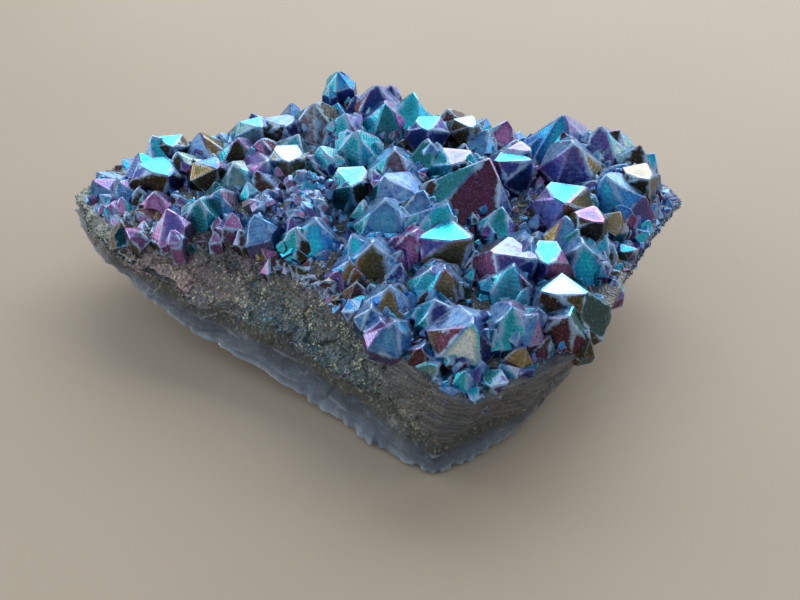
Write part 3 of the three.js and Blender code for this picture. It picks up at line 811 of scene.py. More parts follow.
# %% The coated-quartz finish
FILM_RAMP = (
    (0.00, (0.45, 0.30, 0.12)),
    (0.07, (0.16, 0.14, 0.05)),
    (0.18, (0.13, 0.06, 0.06)),
    (0.28, (0.22, 0.05, 0.17)),
    (0.36, (0.50, 0.20, 0.45)),
    (0.44, (0.17, 0.12, 0.46)),
    (0.52, (0.03, 0.09, 0.34)),
    (0.60, (0.04, 0.27, 0.64)),
    (0.70, (0.03, 0.66, 0.80)),
    (0.80, (0.03, 0.33, 0.40)),
    (0.88, (0.03, 0.21, 0.21)),
    (0.95, (0.20, 0.32, 0.27)),
    (1.00, (0.60, 0.68, 0.62)),
)
# Pale frost; its light blue is partly a painted reflection of the sky.
FROST_AND_PAINTED_SKY = (0.34, 0.50, 0.68, 1.0)


def film_colour(tree, phase):
    """The ramp of film colours at a place from 0 to 1."""
    node = put_node(tree, "ShaderNodeValToRGB", {0: phase})
    stops = node.color_ramp.elements
    while len(stops) < len(FILM_RAMP):
        stops.new(0.5)
    for stop, (place, colour) in zip(stops, FILM_RAMP):
        stop.position = place
        stop.color = (*colour, 1.0)
    return node.outputs["Color"]


# Two zones were knocked and are frosted all over: x, y, z, reach in mm.
KNOCKED = ((-9.0, 18.0, 24.0, 17.0), (40.0, 12.0, 21.0, 10.0))


def knocked_share(tree, places):
    """1 in the middle of a knocked zone, 0 beyond its reach."""
    shares = []
    for x, y, z, reach in KNOCKED:
        away = put_node(tree, "ShaderNodeVectorMath",
                        {0: places, 1: (x * MM, y * MM, z * MM)}, operation="DISTANCE")
        shares.append(eased(tree, away.outputs["Value"], 0.3 * reach * MM, reach * MM, 1.0, 0.0))
    return calc(tree, "MAXIMUM", *shares)


def coated_finish(title, frost_width, gloss, speckle):
    """A metallic film with its own colour on each face, pale where it is frosted, and
    with painted highlight and shade in each face's strength and pale cover.
    """
    material, tree, places = new_material(title)
    split = put_node(tree, "ShaderNodeSeparateXYZ", {0: read(tree, "film", "Vector")})
    # The face's strength and pale cover are partly film and frost, partly painted highlight and
    # shade.
    phase, face_strength_and_painted_light, pale = split.outputs
    rim_mm = read(tree, "rim_mm")
    rise = read(tree, "rise")
    drift = calc(tree, "SUBTRACT", noise(tree, places, 7.0, 2.0), 0.5)
    grain = noise(tree, places, 0.35, 3.0, 0.7)
    near_edge = eased(tree, rim_mm, 0.0, 1.4, 1.0, 0.0)
    place = calc(tree, "MULTIPLY_ADD", drift, 0.20, phase)
    place = calc(tree, "MULTIPLY_ADD", near_edge, -0.05, place)
    sunk = eased(tree, rise, 0.5, 1.8)
    place = calc(tree, "MULTIPLY_ADD", sunk, -0.08, place, clamp=True)
    colour = film_colour(tree, place)
    # Fine grain times the face's strength, so it carries painted highlight and shade too.
    grain_and_painted_light = calc(tree, "MULTIPLY_ADD", calc(tree, "SUBTRACT", grain, 0.5), 2.4, 1.0)
    grain_and_painted_light = calc(tree, "MULTIPLY", grain_and_painted_light, face_strength_and_painted_light)
    colour = shaded(tree, colour, grain_and_painted_light)
    # Frost: the worn edge strips, a thin dusty border next to them, and loose specks.
    # Each face's pale cover adds to it, and that partly paints white highlights.
    ragged = noise(tree, places, 1.1, 4.0, 0.7)
    knocked = knocked_share(tree, places)
    worn = eased(tree, noise(tree, places, 4.5, 2.0), 0.40, 0.60)
    worn = calc(tree, "MAXIMUM", worn, calc(tree, "MULTIPLY", knocked, 0.8))
    border = calc(tree, "MULTIPLY", eased(tree, ragged, 0.3, 0.75), frost_width)
    border = calc(tree, "MULTIPLY_ADD", border, eased(tree, worn, 0.0, 1.0, 0.15, 2.6), 0.04)
    border = eased(tree, calc(tree, "DIVIDE", rim_mm, border), 0.0, 1.0, 1.0, 0.0)
    border = calc(tree, "MULTIPLY", border, eased(tree, worn, 0.0, 1.0, 0.25, 1.0))
    border = calc(tree, "MULTIPLY", border, eased(tree, ragged, 0.25, 0.65, 0.35, 1.0))
    specks = eased(tree, grain, 0.58, 0.75, 0.0, speckle)
    bloom = calc(tree, "MULTIPLY", eased(tree, ragged, 0.45, 0.65), knocked)
    specks = calc(tree, "MULTIPLY_ADD", bloom, 0.45, specks)
    face_pale_and_painted_highlight = calc(tree, "MULTIPLY", pale, eased(tree, ragged, 0.35, 0.62, 0.25, 1.45))
    frost_and_painted_highlight = calc(tree, "ADD", calc(tree, "MAXIMUM", border, face_pale_and_painted_highlight), specks, clamp=True)
    colour = blend_colour(tree, frost_and_painted_highlight, colour, FROST_AND_PAINTED_SKY)
    rough = blend_value(tree, frost_and_painted_highlight, gloss, 0.42)
    rough = calc(tree, "MULTIPLY_ADD", calc(tree, "SUBTRACT", ragged, 0.5), 0.18, rough)
    metal = blend_value(tree, frost_and_painted_highlight, 0.92, 0.6)
    lines = calc(tree, "SINE", calc(tree, "MULTIPLY", rise, 60.0))
    heights = calc(tree, "MULTIPLY_ADD", lines, 0.12, grain)
    feeds = {"Base Color": colour, "Metallic": metal, "Roughness": rough}
    finish_material(tree, feeds, heights, strength=0.45, reach_mm=0.12)
    return material


coated_quartz = coated_finish("coated quartz", 0.5, 0.28, 0.5)
print("finish:", coated_quartz.name)

# %% [markdown]
# ## Which film each face wears
# A point's letters are looked up by where its tip face looks, so besides the film they
# paint light and shade by the way a face looks. The prism face below it wears a thinner
# film, because less of the vapour reached the valleys, and it is made darker.

# %% Films on the faces
def letter_numbers(words):
    """The letters of some words as numbers, one row for each word."""
    return np.array([[LETTERS.index(letter) for letter in word] for word in words])


# First and last azimuth of the left, front and back in degrees. The rest is the right.
LEFT, FRONT, RIGHT, BACK = range(4)
SECTORS = {LEFT: (150, 250), FRONT: (250, 305), BACK: (35, 150)}


def four_sides(azimuth):
    side = np.full(azimuth.shape, RIGHT)
    for number, (first, last) in SECTORS.items():
        side[(azimuth >= first) & (azimuth < last)] = number
    return side


def face_films(normals, seeds, words):
    """Film values of the thirteen faces of each point. Named points look their letter
    up; the others take one by chance from the loose films of that side. By side, the
    values paint light and shade as well as the film."""
    tips = normals[:, FIRST_TIP_PLANE:]
    azimuth = np.degrees(np.arctan2(tips[..., 1], tips[..., 0])) % 360
    side = four_sides(azimuth)
    chance = hash01(seeds[:, None] + 0.5, SIDES + 40)
    pool = letter_numbers(LOOSE_FILMS)
    number = pool[side, (chance * pool.shape[1]).astype(int)]
    for point, word in enumerate(words):
        if not word:
            continue
        if len(word) == 4:
            number[point] = letter_numbers([word])[0][side[point]]
        else:
            number[point] = letter_numbers([word])[0][(azimuth[point] // 60).astype(int)]
    tip_films = FILM_VALUES[number].copy()
    wobble = hash01(seeds[:, None] + 0.25, SIDES + 60) - 0.5
    tip_films[..., 0] += 0.05 * wobble
    prism_films = tip_films * np.array([1.0, 0.6, 0.4])
    prism_films[..., 0] = np.mod(prism_films[..., 0] - 0.10 + 0.2 * wobble, 1)
    root_films = tip_films[:, :1]
    return np.concatenate([root_films, prism_films, tip_films], 1)


# %% [markdown]
# ## Growing the pieces
# The points are grouped by size into pieces that each span the stone. In an export
# every piece gets its own texture, so this keeps the speckle of the faces sharp.

# %% Points as pieces
def grow(name, rows, seeds, planes, words, wear):
    """A group of points becomes one piece, with film, rim and rise attributes."""
    shape = bevelled_points(rows, planes, wear)
    films = face_films(planes[0], seeds, words)
    fan_owner = shape["owner"][shape["fans"][:, 0]]
    strip_owner = shape["owner"][shape["strips"][:, 0]]
    cap_owner = shape["owner"][shape["caps"][:, 0]]
    strip_films = films[strip_owner[:, None], shape["strip_planes"]].mean(1)
    cap_films = films[cap_owner[:, None], shape["cap_planes"]].mean(1)
    film = np.concatenate([films[fan_owner, shape["fan_plane"]], strip_films, cap_films])
    rim_mm = np.zeros((len(shape["fans"]), 3))
    rim_mm[:, 2] = shape["fan_depth"]
    edges = np.zeros(4 * len(shape["strips"]) + 3 * len(shape["caps"]))
    rim_mm = np.concatenate([rim_mm.ravel(), edges])
    axis = lean_axis(rows)
    owner = shape["owner"]
    below = ((rows[owner, :3] - shape["points"]) * axis[owner]).sum(-1)
    rise = below / tip_heights(rows)[owner]
    attributes = (
        ("film", "FLOAT_VECTOR", "FACE", film),
        ("rim_mm", "FLOAT", "CORNER", rim_mm),
        ("rise", "FLOAT", "POINT", rise),
    )
    faces = (shape["fans"], shape["strips"], shape["caps"])
    make_piece(name, shape["points"], faces, coated_quartz, attributes)


# Small crystals: how long the root is and how wide an edge is worn, as shares of the
# width, and the least and the most wear in mm.
SMALL_SHAPES = {
    "quartz_siblings": (0.8, 0.02, 0.05, 0.14),
    "quartz_seedlings": (0.6, 0.03, 0.05, 0.12),
    "quartz_flakes": (0.5, 0.05, 0.05, 0.15),
}


def grow_small(name, rows, seeds, words):
    root_share, wear_share, least, most = SMALL_SHAPES[name]
    width = rows[:, WIDTH]
    planes = point_planes(rows, seeds, tip_heights(rows) + root_share * width)
    grow(name, rows, seeds, planes, words, np.clip(wear_share * width, least, most))


# Points at least this wide are the large ones.
LARGE_WIDTH = 9.5
# The worn edge of a main point: a start in mm, a share of the width, and the least and
# the most in mm.
POINT_WEAR = (0.03, 0.015, 0.07, 0.22)
# The third filler stands among the plum points at the front of the left end.
FILLER_WORDS = {2: "mvpmvl"}
words = [row[7] for row in POINTS]
words += [FILLER_WORDS.get(k, "") for k in range(len(main_rows) - len(POINTS))]
width = main_rows[:, WIDTH]
wear = np.clip(POINT_WEAR[0] + POINT_WEAR[1] * width, *POINT_WEAR[2:])
named = np.arange(len(main_rows)) < len(POINTS)
groups = {
    "quartz_large_points": named & (width >= LARGE_WIDTH),
    "quartz_small_points": named & (width < LARGE_WIDTH),
    "quartz_filler_points": ~named,
}
for name, chosen in groups.items():
    index = np.nonzero(chosen)[0]
    planes = (main_planes[0][index], main_planes[1][index])
    grow(name, main_rows[index], index, planes, [words[k] for k in index], wear[index])

# %% [markdown]
# ## Parallel growth
# Quartz points seldom stand alone. Smaller ones grow on their flanks in the same
# direction, so their faces are parallel and the large point looks stepped at its foot.
# A sibling starts on the parent's surface: from a spot beside the axis one goes down
# along the axis until all of the parent's planes are met, then up a little. A sibling
# that would stay under the ground is left out.

# %% Siblings on the flanks
SIBLING_SHARE = (0.36, 0.60)
SIBLING_OUT = (0.36, 0.50)
SIBLING_UP = (0.05, 0.16)
SIBLING_ROUNDS = 3
# Only parents that lean less than this, and stand inside this share of the field.
SIBLING_LEAN = 30.0
SIBLING_REACH = 0.93
# How far under the ground a sibling's tip may be.
SIBLING_SUNK = 0.5
SIBLING_SEEDS = 6000


def sibling_rows(rows, planes, words, rounds):
    """Each round adds one sibling per parent, at its own side of the parent."""
    normals, distances = planes
    width = rows[:, WIDTH]
    axis = lean_axis(rows)
    level = unit(np.cross(axis, SIDEWAYS))
    upright = np.cross(axis, level)
    new_rows, new_words = [], []
    for turn in range(rounds):
        n = np.arange(len(rows)) + 1000 * (turn + 1)
        angle = 2 * math.pi * (turn / rounds + 0.5 * hash01(n, 1))[:, None]
        out = width * mix(*SIBLING_OUT, hash01(n, 2))
        spot = (level * np.cos(angle) + upright * np.sin(angle)) * out[:, None]
        along = np.einsum("kpi,ki->kp", normals, axis)
        beyond = np.einsum("kpi,ki->kp", normals, spot) - distances
        depth = np.where(along > 0.02, beyond / np.maximum(along, 0.02), -np.inf).max(-1)
        depth = depth - width * mix(*SIBLING_UP, hash01(n, 3))
        size = width * mix(*SIBLING_SHARE, hash01(n, 4))
        tips = rows[:, :3] + spot - axis * depth[:, None]
        wobble = (hash01(n, 5) - 0.5) * 8
        lean_to, lean = rows[:, LEAN_TO] + wobble, rows[:, LEAN] + wobble
        own_turn = rows[:, TURN] + 60 * (hash01(n, 6) > 0.7)
        new_rows.append(np.column_stack([tips, size, lean_to, lean, own_turn]))
        new_words += words
    return np.concatenate(new_rows), new_words


inner_share, _ = field_at(main_rows[:, :2])
straight = np.flatnonzero(
    (main_rows[:, LEAN] < SIBLING_LEAN) & (inner_share < SIBLING_REACH))
sib_rows, sib_words = sibling_rows(
    main_rows[straight], (main_planes[0][straight], main_planes[1][straight]),
    [words[k] for k in straight], SIBLING_ROUNDS)
_, sib_ground = field_at(sib_rows[:, :2])
standing = np.flatnonzero(sib_rows[:, 2] > sib_ground - SIBLING_SUNK)
grow_small("quartz_siblings", sib_rows[standing], standing + SIBLING_SEEDS,
           [sib_words[k] for k in standing])

# %% [markdown]
# ## How high the stone stands
# Small crystals sit in the valleys between the large ones, so the lesson needs to know
# where the valleys are. Each point's body is convex: over one spot it ends at the
# lowest of its upper planes. The tallest body, or the dome, is the surface there.

# %% A height map of the stone
MAP_STEP = 0.5
# Each row of the map looks only at the points whose tips are nearer than this, in mm.
NEAR_ROW = 12
# The height to use beside the stone, where the map holds nothing.
BESIDE = 10.0
map_x = np.arange(FIELD_CORNER[0] - 2, FIELD_CORNER[0] + FIELD_SIZE[0] + 4, MAP_STEP)
map_y = np.arange(FIELD_CORNER[1] - 2, FIELD_CORNER[1] + FIELD_SIZE[1] + 8, MAP_STEP)


def tops_at(xy, rows, planes):
    """The height of the tallest body over each place, or minus infinity."""
    normals, distances = planes
    offset = xy[:, None, :] - rows[None, :, :2]
    slack = distances - np.einsum("mka,kpa->mkp", offset, normals[..., :2])
    rising = normals[..., 2]
    steep = np.where(np.abs(rising) < 1e-6, 1e-6, rising)
    height = slack / steep
    upper = np.where(rising > 1e-6, height, np.inf).min(-1)
    lower = np.where(rising < -1e-6, height, -np.inf).max(-1)
    top = np.where(upper > lower, upper + rows[:, 2], -np.inf)
    return top.max(-1)


def height_map():
    """The stone's height on a grid, worked out one row of the grid at a time."""
    ground = []
    for y in map_y:
        xy = np.column_stack([map_x, np.full(len(map_x), y)])
        share, height = field_at(xy)
        height = np.where(share < 1.05, height, -np.inf)
        near = np.abs(main_rows[:, 1] - y) < NEAR_ROW
        planes = (main_planes[0][near], main_planes[1][near])
        ground.append(np.maximum(height, tops_at(xy, main_rows[near], planes)))
    return np.array(ground)


HEIGHTS = height_map()
solid_ground = np.where(np.isfinite(HEIGHTS), HEIGHTS, BESIDE)
REACH_CELLS = 5
padded_map = np.pad(solid_ground, REACH_CELLS, mode="edge")
window = 2 * REACH_CELLS + 1
around = np.lib.stride_tricks.sliding_window_view(padded_map, (window, window)).mean((2, 3))


def from_map(grid, xy):
    """The nearest value of a map."""
    column = np.clip(np.rint((xy[:, 0] - map_x[0]) / MAP_STEP).astype(int), 0, len(map_x) - 1)
    row = np.clip(np.rint((xy[:, 1] - map_y[0]) / MAP_STEP).astype(int), 0, len(map_y) - 1)
    return grid[row, column]


print("height map:", HEIGHTS.shape, "highest in mm:", round(float(HEIGHTS.max()), 2))

# %% [markdown]
# ## Small crystals in valleys, on the rim and in the chipped patch
# Late in its growth a druse keeps seeding new small crystals wherever there is room.
# They fill the valleys, crowd along the rim and lean outwards there. One patch was
# knocked: it holds pale flakes that lie at all angles.

# %% Rows of small crystals
VALLEY_TRIES = 2600
VALLEY_START = 5000
VALLEY_WIDTH = (1.4, 5.0)
RIM_COUNT = 330
RIM_WIDTH = (1.6, 4.2)
# The rim's band as shares of the way out, its width, and the least and most lean.
RIM_BAND = (0.93, 1.0)
RIM_BAND_WIDTH = 0.07
RIM_LEAN = (15, 62)
PATCH = np.array([-15.5, 19.5])
PATCH_SIZE = np.array([8.5, 5.0])
PATCH_COUNT = 230
FLAKE_WIDTH = (0.8, 2.8)
SEEDLING_SEEDS = 2000
FLAKE_SEEDS = 4000


def valley_rows():
    """Tries that lie lower than the ground around them, with a tip just above it."""
    n = np.arange(VALLEY_START, VALLEY_START + VALLEY_TRIES)
    xy = FIELD_CORNER + FIELD_SIZE * np.mod(n[:, None] * FILLER_STEP, 1)
    share, dome = field_at(xy)
    here, mean = from_map(solid_ground, xy), from_map(around, xy)
    keep = (share < 0.97) & ((here < mean - 0.35) | (here < dome + 0.3))
    n, xy, here, share = n[keep], xy[keep], here[keep], share[keep]
    size = mix(*VALLEY_WIDTH, hash01(n, 11) ** 1.7)
    out = np.degrees(np.arctan2(*(xy - DOME_CENTRE).T[::-1]))
    lean_to = out + 200 * (hash01(n, 12) - 0.5)
    lean = 4 + 38 * hash01(n, 13)
    return np.column_stack([xy, here + size * mix(0.1, 0.55, hash01(n, 14)), size,
                            lean_to, lean, 120 * hash01(n, 15)])


def rim_rows():
    """Crystals along the rim, leaning outwards more the further out they stand."""
    n = np.arange(RIM_COUNT)
    turn = 2 * math.pi * (n + 0.8 * hash01(n, 21)) / RIM_COUNT
    reach = np.interp(turn, rim_turn, rim_reach, period=2 * math.pi)
    level = np.interp(turn, rim_turn, rim[:, 2], period=2 * math.pi)
    share = mix(*RIM_BAND, hash01(n, 22))
    angle = turn + rim_start
    size = mix(*RIM_WIDTH, hash01(n, 23) ** 1.4)
    xy = DOME_CENTRE + (reach * share)[:, None] * np.column_stack([np.cos(angle), np.sin(angle)])
    across = (share - RIM_BAND[0]) / RIM_BAND_WIDTH
    lean = mix(*RIM_LEAN, across * 0.6 + 0.4 * hash01(n, 24))
    z = level + size * mix(0.2, 0.6, hash01(n, 25)) - 6 * (share - 0.95)
    return np.column_stack([xy, z, size, np.degrees(angle) + 70 * (hash01(n, 26) - 0.5),
                            lean, 120 * hash01(n, 27)])


def patch_rows():
    """Flakes in the knocked patch, leaning any way."""
    n = np.arange(PATCH_COUNT)
    angle, out = 2 * math.pi * hash01(n, 31), np.sqrt(hash01(n, 32))
    xy = PATCH + PATCH_SIZE * out[:, None] * np.column_stack([np.cos(angle), np.sin(angle)])
    size = mix(*FLAKE_WIDTH, hash01(n, 33) ** 1.5)
    z = from_map(solid_ground, xy) + 0.35 * size
    return np.column_stack([xy, z, size, 360 * hash01(n, 34), 10 + 45 * hash01(n, 35),
                            120 * hash01(n, 36)])


small_rows = np.concatenate([valley_rows(), rim_rows()])
# On the left of the front the rim is dusky plum and brown, like the crust below it.
DUSKY_CORNER = (-8, 24)
DUSKY_SHARE = 0.74
DUSKY_WORDS = ("mpom", "pkmk", "kmpo", "vpkm", "okpn")
dusky = ((small_rows[:, :2] < DUSKY_CORNER).all(1)
         & (field_at(small_rows[:, :2])[0] > DUSKY_SHARE))
small_words = [DUSKY_WORDS[k % len(DUSKY_WORDS)] if dusky[k] else ""
               for k in range(len(small_rows))]
grow_small("quartz_seedlings", small_rows, np.arange(len(small_rows)) + SEEDLING_SEEDS,
           small_words)

flake_seeds = np.arange(PATCH_COUNT) + FLAKE_SEEDS
FLAKE_WORDS = ("whsc", "swhw", "kwsh", "hscw", "wlkw", "shwk", "hwsu", "wshk")
flake_words = [FLAKE_WORDS[int(len(FLAKE_WORDS) * hash01(k, 50))] for k in flake_seeds]
grow_small("quartz_flakes", patch_rows(), flake_seeds, flake_words)

# %% [markdown]
# ## Rock shells
# The crust and the chalcedony are the same rings as the solid's, drawn much finer.
# Straight blends between the coarse rings keep the solid's form, and a displacement
# along the surface's own normals adds the broken grain.

# %% Fine shells from the coarse rings
FINER_ROUND = 16


def finer_rings(rings, steps):
    """Blends between coarse rings: steps rows for each gap, FINER_ROUND columns for
    each coarse column."""
    share = np.arange(FINER_ROUND) / FINER_ROUND
    ahead = np.roll(rings, -1, 1)
    fine = mix(rings[:, :, None], ahead[:, :, None], share[:, None])
    fine = fine.reshape(len(rings), -1, 3)
    rows = []
    for gap, count in enumerate(steps):
        up = (np.arange(count) / count)[:, None, None]
        rows.append(mix(fine[gap], fine[gap + 1], up))
    rows.append(fine[-1:])
    return np.concatenate(rows)


def ring_normals(grid):
    """The cross product of the steps round and up the grid, which points outwards."""
    along = np.roll(grid, -2, 1) - np.roll(grid, 2, 1)
    across = np.gradient(grid, axis=0)
    return unit(np.cross(along, across))


def closed_shell(grid, bottom, top):
    """Quads between the rings, and a fan to a pole at each end."""
    rows, columns, _ = grid.shape
    number = np.arange(rows * columns).reshape(rows, columns)
    ahead = np.roll(number, -1, 1)
    quads = np.stack([number[:-1], ahead[:-1], ahead[1:], number[1:]], -1).reshape(-1, 4)
    low = np.full(columns, rows * columns)
    fans = np.concatenate([
        np.stack([low, ahead[0], number[0]], -1),
        np.stack([low + 1, number[-1], ahead[-1]], -1),
    ])
    points = np.concatenate([grid.reshape(-1, 3), [bottom], [top]])
    return points, quads, fans


columns_mm = np.linalg.norm(np.roll(RINGS[1], -1, 0) - RINGS[1], axis=-1)
print("lower edge in mm round:", round(float(columns_mm.sum()), 1))

# %% [markdown]
# ## The quartz crust
# The broken sides show the crust's inside: tightly packed grains from half a
# millimetre to two, which sparkle gold and green. Two layers of broken planes make
# chunks and grains in the mesh itself, and single loose grains come on top later.

# %% The crust's shell
# Places where the stone broke through clear quartz instead of grains: x, y, z, reach.
GLASSY_SPOTS = ((3, -17, 15, 5.0), (12, -24, 12, 8.0), (24, -16, 13, 9.0), (35, -5, 14, 9.0))


def glassiness(places):
    """1 on the clear breaks, falling off as exp(-(distance / reach)^2)."""
    near = [np.exp(-(((places - spot[:3]) / spot[3]) ** 2).sum(-1)) for spot in GLASSY_SPOTS]
    return np.clip(1.5 * np.max(near, 0), 0, 1)


# The crust starts at a ring hidden inside the base, and goes out to the seam, up the
# broken side in two stretches, and in over the rim.
CRUST_STEPS = (2, 14, 14, 12)
# Depth and width in mm, and a seed.
CRUST_CHUNKS = (0.6, 3.4, 3)
CRUST_GRAIN = (0.25, 1.0, 5)
CRUST_SWELL = (0.5, 6.0, 7)
SEAM_INSET = 0.93
CRUST_INSIDE = (*DOME_CENTRE, 8.0)
seam_inset = RINGS[3].copy()
seam_inset[:, :2] = mix(DOME_CENTRE, seam_inset[:, :2], SEAM_INSET)
crust_grid = finer_rings(np.concatenate([seam_inset[None], RINGS[4:]]), CRUST_STEPS)
crust_normals = ring_normals(crust_grid)
broken = breaks(crust_grid, *CRUST_CHUNKS) + breaks(crust_grid, *CRUST_GRAIN)
broken = broken + swell(crust_grid, *CRUST_SWELL)
broken = mix(broken, 0.3 * broken + 0.3, glassiness(crust_grid))
crust_grid = crust_grid + crust_normals * broken[..., None]
crust_points, crust_quads, crust_fans = closed_shell(
    crust_grid, CRUST_INSIDE, (*DOME_CENTRE, DOME_HEIGHT))

# Places where the crust's colour changes: x, y, z, reach in mm, colour.
CRUST_GROUND = (0.36, 0.36, 0.30)
CRUST_SPOTS = (
    (-41, 14, 12, 4.5, (0.50, 0.38, 0.36)),
    (-35, 9, 12, 3.5, (0.46, 0.27, 0.28)),
    (-28, 6, 12, 3.5, (0.40, 0.26, 0.24)),
    (-21, 12, 15, 3.0, (0.36, 0.14, 0.32)),
    (-15.5, 19.5, 23, 7.0, (0.22, 0.31, 0.42)),
    (-19, 7, 13.5, 5.0, (0.19, 0.16, 0.125)),
    (-13, 4, 14, 5.0, (0.17, 0.14, 0.11)),
    (-7, -1, 14, 5.0, (0.17, 0.135, 0.10)),
    (-32, 4.7, 10, 4.0, (0.10, 0.15, 0.16)),
    (-21, 0, 10, 5.0, (0.07, 0.15, 0.18)),
    (-12, -6, 9.5, 5.5, (0.07, 0.14, 0.16)),
    (-5, -12, 9, 5.0, (0.09, 0.14, 0.14)),
    (5, -20, 11, 6.0, (0.16, 0.13, 0.10)),
    (20, -19, 12, 10.0, (0.18, 0.14, 0.11)),
    (33, -6, 13, 9.0, (0.16, 0.14, 0.13)),
    (45, 16, 15, 8.0, (0.11, 0.17, 0.34)),
    (53, 28, 16, 8.0, (0.15, 0.20, 0.44)),
    (-54, 26, 15, 7.0, (0.44, 0.46, 0.42)),
    (0, 60, 14, 22.0, (0.12, 0.15, 0.16)),
    (35, 45, 14, 14.0, (0.13, 0.13, 0.18)),
    (-42, 46, 14, 14.0, (0.15, 0.14, 0.13)),
    # Painted shade: a near-black spot over the dome darkens the ground between the points.
    (0, 15, 20, 34.0, (0.03, 0.03, 0.05)),
)


def blended_spots(places, ground, spots_list):
    """A mean of the spots' colours, each weighed by exp(-(distance / reach)^2)."""
    weight = np.full(places.shape[:-1], 0.12)
    total = weight[..., None] * np.array(ground)
    for x, y, z, reach, colour in spots_list:
        near = np.exp(-(((places - (x, y, z)) / reach) ** 2).sum(-1))
        weight = weight + near
        total = total + near[..., None] * np.array(colour)
    return total / weight[..., None]


crust_tint = np.column_stack([
    blended_spots(crust_points, CRUST_GROUND, CRUST_SPOTS), glassiness(crust_points)])
print("crust rings:", crust_grid.shape)

# %% [markdown]
# ## The crust's finish
# Each grain has its own angle to the light, so the sparkle comes from small cells that
# differ in roughness and slope. Gold dots on some cells are painted glints. The tint is
# stored on the mesh, where the film drifts from gold-green to maroon, brown and teal,
# and the cells scatter it further.

# %% Crust finish
GREEN_GRAIN = (0.10, 0.17, 0.11, 1.0)
# The gold is a painted glint for the crust's bright grains.
PAINTED_GOLD_GLINT = (0.62, 0.60, 0.38, 1.0)
CLEAR_BREAK = ((0.055, 0.060, 0.070, 1.0), (0.15, 0.145, 0.14, 1.0))


def crust_finish(title):
    material, tree, places = new_material(title)
    tint, glassy = read(tree, "tint", "Color"), read(tree, "tint", "Alpha")
    grain = cells(tree, places, 0.3, "Color")
    split = put_node(tree, "ShaderNodeSeparateXYZ", {0: grain}).outputs
    fine = noise(tree, places, 0.5, 4.0, 0.7)
    lift = eased(tree, split[0], 0.0, 1.0, 0.7, 1.35)
    colour = shaded(tree, tint, lift)
    green = eased(tree, split[1], 0.6, 0.85, 0.0, 0.4)
    colour = blend_colour(tree, green, colour, GREEN_GRAIN)
    lit = put_node(tree, "ShaderNodeSeparateColor", {0: tint}).outputs[1]
    clumps = eased(tree, noise(tree, places, 2.5, 3.0, 0.6), 0.42, 0.60, 0.15, 1.0)
    # Painted glints: gold dots on some cells, in clumps, kept off the dark tint.
    painted_glint = calc(tree, "MULTIPLY", eased(tree, split[2], 0.80, 0.90),
                 eased(tree, lit, 0.03, 0.10))
    painted_glint = calc(tree, "MULTIPLY", painted_glint, clumps)
    colour = blend_colour(tree, painted_glint, colour, PAINTED_GOLD_GLINT)
    # The clear breaks show fine growth lines that run level round the stone.
    layers = put_node(tree, "ShaderNodeVectorMath", {0: places, 1: (1.0, 1.0, 7.0)},
                      operation="MULTIPLY").outputs[0]
    lines = eased(tree, noise(tree, layers, 4.0, 4.0, 0.6), 0.35, 0.65)
    clear = blend_colour(tree, lines, *CLEAR_BREAK)
    colour = blend_colour(tree, glassy, colour, clear)
    rough = blend_value(tree, glassy, blend_value(tree, split[1], 0.28, 0.6), 0.2)
    metal = blend_value(tree, glassy, blend_value(tree, split[0], 0.05, 0.35), 0.1)
    heights = calc(tree, "ADD", cells(tree, places, 0.4), fine)
    feeds = {"Base Color": colour, "Metallic": metal, "Roughness": rough}
    finish_material(tree, feeds, heights, strength=0.6, reach_mm=0.2)
    return material


crust_material = crust_finish("quartz crust")
make_piece("quartz_crust", crust_points, (crust_quads, crust_fans), crust_material,
           (("tint", "FLOAT_COLOR", "POINT", crust_tint),))

# %% [markdown]
# ## Loose grains on the crust
# A closer look at the broken side shows single tiny crystals, each a bright dot. An
# eight-sided double pyramid with three chance half-lengths, turned by a chance
# quaternion and sunk to its middle, is enough for a grain of half a millimetre.

# %% Grains
GRAIN_COUNT = 14000
GRAIN_SIZE = (0.15, 0.5)
GRAIN_FILMS = "eoyekoegksgk"
MAROON_FILMS = "pmpkompy"
DUSKY_FILMS = "kosvlnpb"
EIGHT = np.array([(0, 2, 4), (2, 1, 4), (1, 3, 4), (3, 0, 4),
                  (2, 0, 5), (1, 2, 5), (3, 1, 5), (0, 3, 5)])
AXES = np.array([(1, 0, 0), (-1, 0, 0), (0, 1, 0), (0, -1, 0), (0, 0, 1), (0, 0, -1.0)])


def chance_turns(n, seed):
    """Rotation matrices from unit quaternions with four hashed parts."""
    q = unit(np.stack([hash01(n, seed + k) - 0.5 for k in range(4)], -1))
    w, x, y, z = q.T
    return np.stack([
        np.stack([1 - 2 * (y * y + z * z), 2 * (x * y - z * w), 2 * (x * z + y * w)], -1),
        np.stack([2 * (x * y + z * w), 1 - 2 * (x * x + z * z), 2 * (y * z - x * w)], -1),
        np.stack([2 * (x * z - y * w), 2 * (y * z + x * w), 1 - 2 * (x * x + y * y)], -1),
    ], 1)


